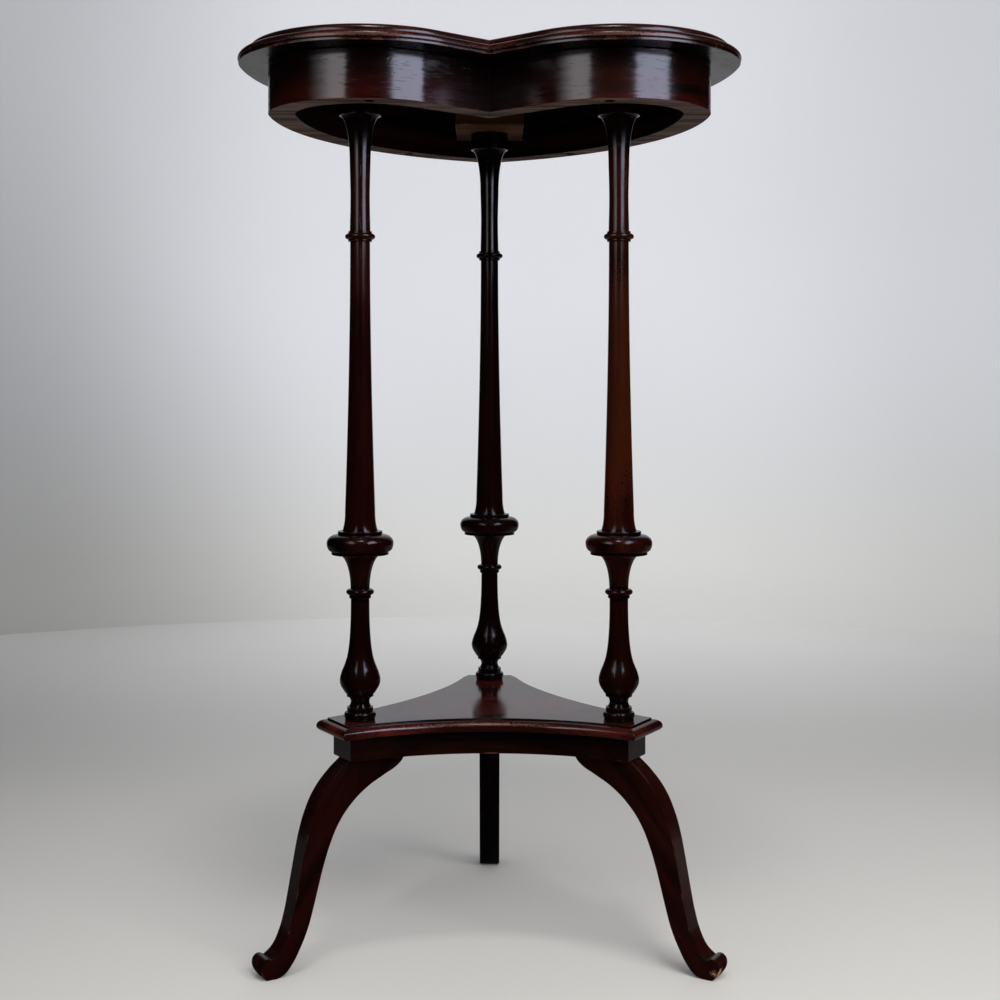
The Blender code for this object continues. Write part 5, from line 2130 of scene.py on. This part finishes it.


# Painted light on the wall: darker to the left, low on the left, to the right and towards the
# bottom, with a painted shadow along its foot and a painted glow of its own.
WALL_PAPER = Paper(
    name="pale_wall", near=(0.775, 0.775, 0.755), far=(0.745, 0.76, 0.80), axis="Z",
    reach=(0.0, 0.55), dims=(0.38, 0.38), glow=0.40,
    painted_gradients=(PaintedGradient((-1.0, 0.0, 0.0), 0.30, 1.00, 0.36), PaintedGradient((-0.8, 0.0, -0.6), -0.05, 0.65, 0.27),
           PaintedGradient((1.0, 0.0, 0.0), 0.35, 1.10, 0.18), PaintedGradient((0.0, 0.0, -1.0), -0.75, 0.0, 0.18),
           PaintedGradient((0.0, 0.0, -1.0), -0.14, 0.0, 0.10)),
)
# Painted light on the ground: lighter near the camera and again towards the wall, darker to both
# sides.
GROUND_PAPER = Paper(
    name="pale_ground", near=(0.90, 0.88, 0.84), far=(0.61, 0.605, 0.59), axis="Y",
    reach=(-0.7, 0.9), dims=(0.985, 0.66), glow=0.0,
    painted_gradients=(PaintedGradient((-1.0, 0.0, 0.0), 0.15, 0.90, 0.34), PaintedGradient((1.0, 0.0, 0.0), 0.35, 1.00, 0.14),
           PaintedGradient((0.0, 1.0, 0.0), 0.45, 1.70, -0.52)),
)


@dataclass(frozen=True)
class Room:
    """Dim surroundings of the studio.

    The sky is behind the camera and behind the table, and the polish and the camera get a colour
    of their own instead. The reaches are shares of a ray's way along Y and up.
    """

    sky_behind_camera: Colour = (0.70, 0.70, 0.72)
    sky_behind_table: Colour = (0.34, 0.345, 0.36)
    below: Colour = (0.10, 0.10, 0.105)
    reflected: Colour = (0.004, 0.004, 0.0045)
    seen: Colour = (0.60, 0.61, 0.63)
    sky_reach: Pair = (-0.9, 0.2)
    up_reach: Pair = (0.0, 0.6)

    def build(self) -> None:
        """Set the world's colour."""
        world = bpy.data.worlds.new("dim_room")
        world.use_nodes = True
        bpy.context.scene.world = world
        wiring = Wiring(world.node_tree)
        heading = wiring.out("Generated", "ShaderNodeTexCoord")
        path = wiring.add("ShaderNodeLightPath").outputs
        sky = wiring.blend(wiring.span(wiring.along(heading, "Y"), *self.sky_reach),
                           (*self.sky_behind_camera, 1.0), (*self.sky_behind_table, 1.0))
        colour = wiring.blend(wiring.span(wiring.along(heading, "Z"), *self.up_reach),
                              (*self.below, 1.0), sky)
        colour = wiring.blend(path["Is Glossy Ray"], colour, (*self.reflected, 1.0))
        colour = wiring.blend(path["Is Camera Ray"], colour, (*self.seen, 1.0))
        wiring.feed(world.node_tree.nodes["Background"].inputs["Color"], colour)


@dataclass
class Studio:
    """Pale floor and backdrop, soft light and a camera at the photograph's angle."""

    camera_place: Place = (0.0, -1.3950, 0.4623)
    lens: float = 56.84
    sensor: float = 36.0
    shift: Pair = (0.0105, -0.1078)
    floor_radius: float = 1.86
    wall_radius: float = 1.98
    wall_height: float = 2.60
    back_half_angle: float = math.radians(33.0)
    sweep_steps: int = 10
    round_steps: int = 96
    panels: tuple[Panel, ...] = (
        Panel("left_panel", (-0.415, -0.60, 0.93), 0.38, 0.27, (3.2, 3.05, 3.2), 0.04, 0.34),
        Panel("right_panel", (0.415, -0.58, 0.93), 0.34, 0.27, (5.2, 5.4, 7.0), 0.16, 0.03),
    )
    lamps: tuple[Lamp, ...] = (
        Lamp("overhead", (0.35, -0.35, 2.45), (0.05, 0.0, 0.0), (1.9, 1.9), 1.6,
             (1.0, 0.985, 0.96), reflected=False),
        Lamp("ceiling_lamp", (0.03, -0.80, 2.40), (0.0, 0.0, 0.4), (0.30, 0.30), 5.8,
             (1.0, 0.98, 0.95)),
        Lamp("front_fill", (1.0, -1.60, 1.45), (0.15, -0.20, 0.2), (1.6, 1.2), 22.0,
             (1.0, 0.985, 0.955), reflected=False),
    )

    def profile(self) -> list[Pair]:
        """Give the sweep's line from the wall's foot on the floor up to its top.

        Returns:
            The line, as (radius, height).
        """
        cove = self.wall_radius - self.floor_radius
        line = []
        for step in range(self.sweep_steps + 1):
            angle = QUARTER_TURN * step / self.sweep_steps
            line.append((self.floor_radius + cove * math.sin(angle),
                         cove * (1.0 - math.cos(angle))))
        return line + [(self.wall_radius, self.wall_height)]

    def swept(self, name: str, first: float, last: float) -> bpy.types.Object:
        """Make one stretch of the round wall with its cove.

        Args:
            name: Name of the object.
            first: Angle at which it starts.
            last: Angle at which it ends.

        Returns:
            The wall, facing inwards.
        """
        steps = max(2, round(self.round_steps * (last - first) / math.tau))
        line = self.profile()
        points, faces = [], []
        for step in range(steps + 1):
            angle = first + (last - first) * step / steps
            for radius, height in line:
                points.append((radius * math.cos(angle), radius * math.sin(angle), height))
        for step in range(steps):
            for index in range(len(line) - 1):
                corner = step * len(line) + index
                faces.append((corner, corner + 1, corner + len(line) + 1, corner + len(line)))
        mesh = drawn(name, points, faces)
        mesh.shade_smooth()
        return loose_object(name, mesh)

    def floor(self) -> bpy.types.Object:
        """Make the round floor, facing up.

        Returns:
            The floor.
        """
        rim = [math.tau * step / self.round_steps for step in range(self.round_steps)]
        points = [(self.floor_radius * math.cos(angle), self.floor_radius * math.sin(angle), 0.0)
                  for angle in rim]
        return loose_object("pale_floor", drawn("pale_floor", points, [list(range(len(rim)))]))

    def build_backdrop(self) -> None:
        """Make the floor and the wall. Only the wall behind the table shows in the polish."""
        wall, ground = WALL_PAPER.material(), GROUND_PAPER.material()
        first, last = QUARTER_TURN - self.back_half_angle, QUARTER_TURN + self.back_half_angle
        back = self.swept("wall_behind", first, last)
        rest = self.swept("wall_round", last, first + math.tau)
        rest.visible_glossy = False
        rest.visible_diffuse = False
        rest.visible_shadow = False
        rest.visible_transmission = False
        floor = self.floor()
        for item, material in ((back, wall), (rest, wall), (floor, ground)):
            item.data.materials.append(material)

    def build_camera(self) -> None:
        """Set the level camera at the photograph's place."""
        data = bpy.data.cameras.new("photo_camera")
        data.lens = self.lens
        data.sensor_width = self.sensor
        data.sensor_fit = "HORIZONTAL"
        data.shift_x, data.shift_y = self.shift
        camera = loose_object("photo_camera", data)
        camera.location = self.camera_place
        camera.rotation_euler = (QUARTER_TURN, 0.0, 0.0)
        bpy.context.scene.camera = camera

    def build(self) -> None:
        """Make the whole studio."""
        self.build_backdrop()
        for light in self.panels + self.lamps:
            light.build()
        Room().build()
        self.build_camera()
        bpy.context.scene.view_settings.view_transform = "Standard"


def main() -> None:
    """Build the studio and the table's sub-assemblies in order."""
    logging.basicConfig(level=logging.INFO, format="%(name)s: %(message)s")
    Studio().build()
    shop = Workshop()
    for assembly in (Top(), Columns(), Shelf(), Legs()):
        LOG.info("building %s", type(assembly).__name__.lower())
        assembly.build(shop)


if __name__ == "__main__":
    main()
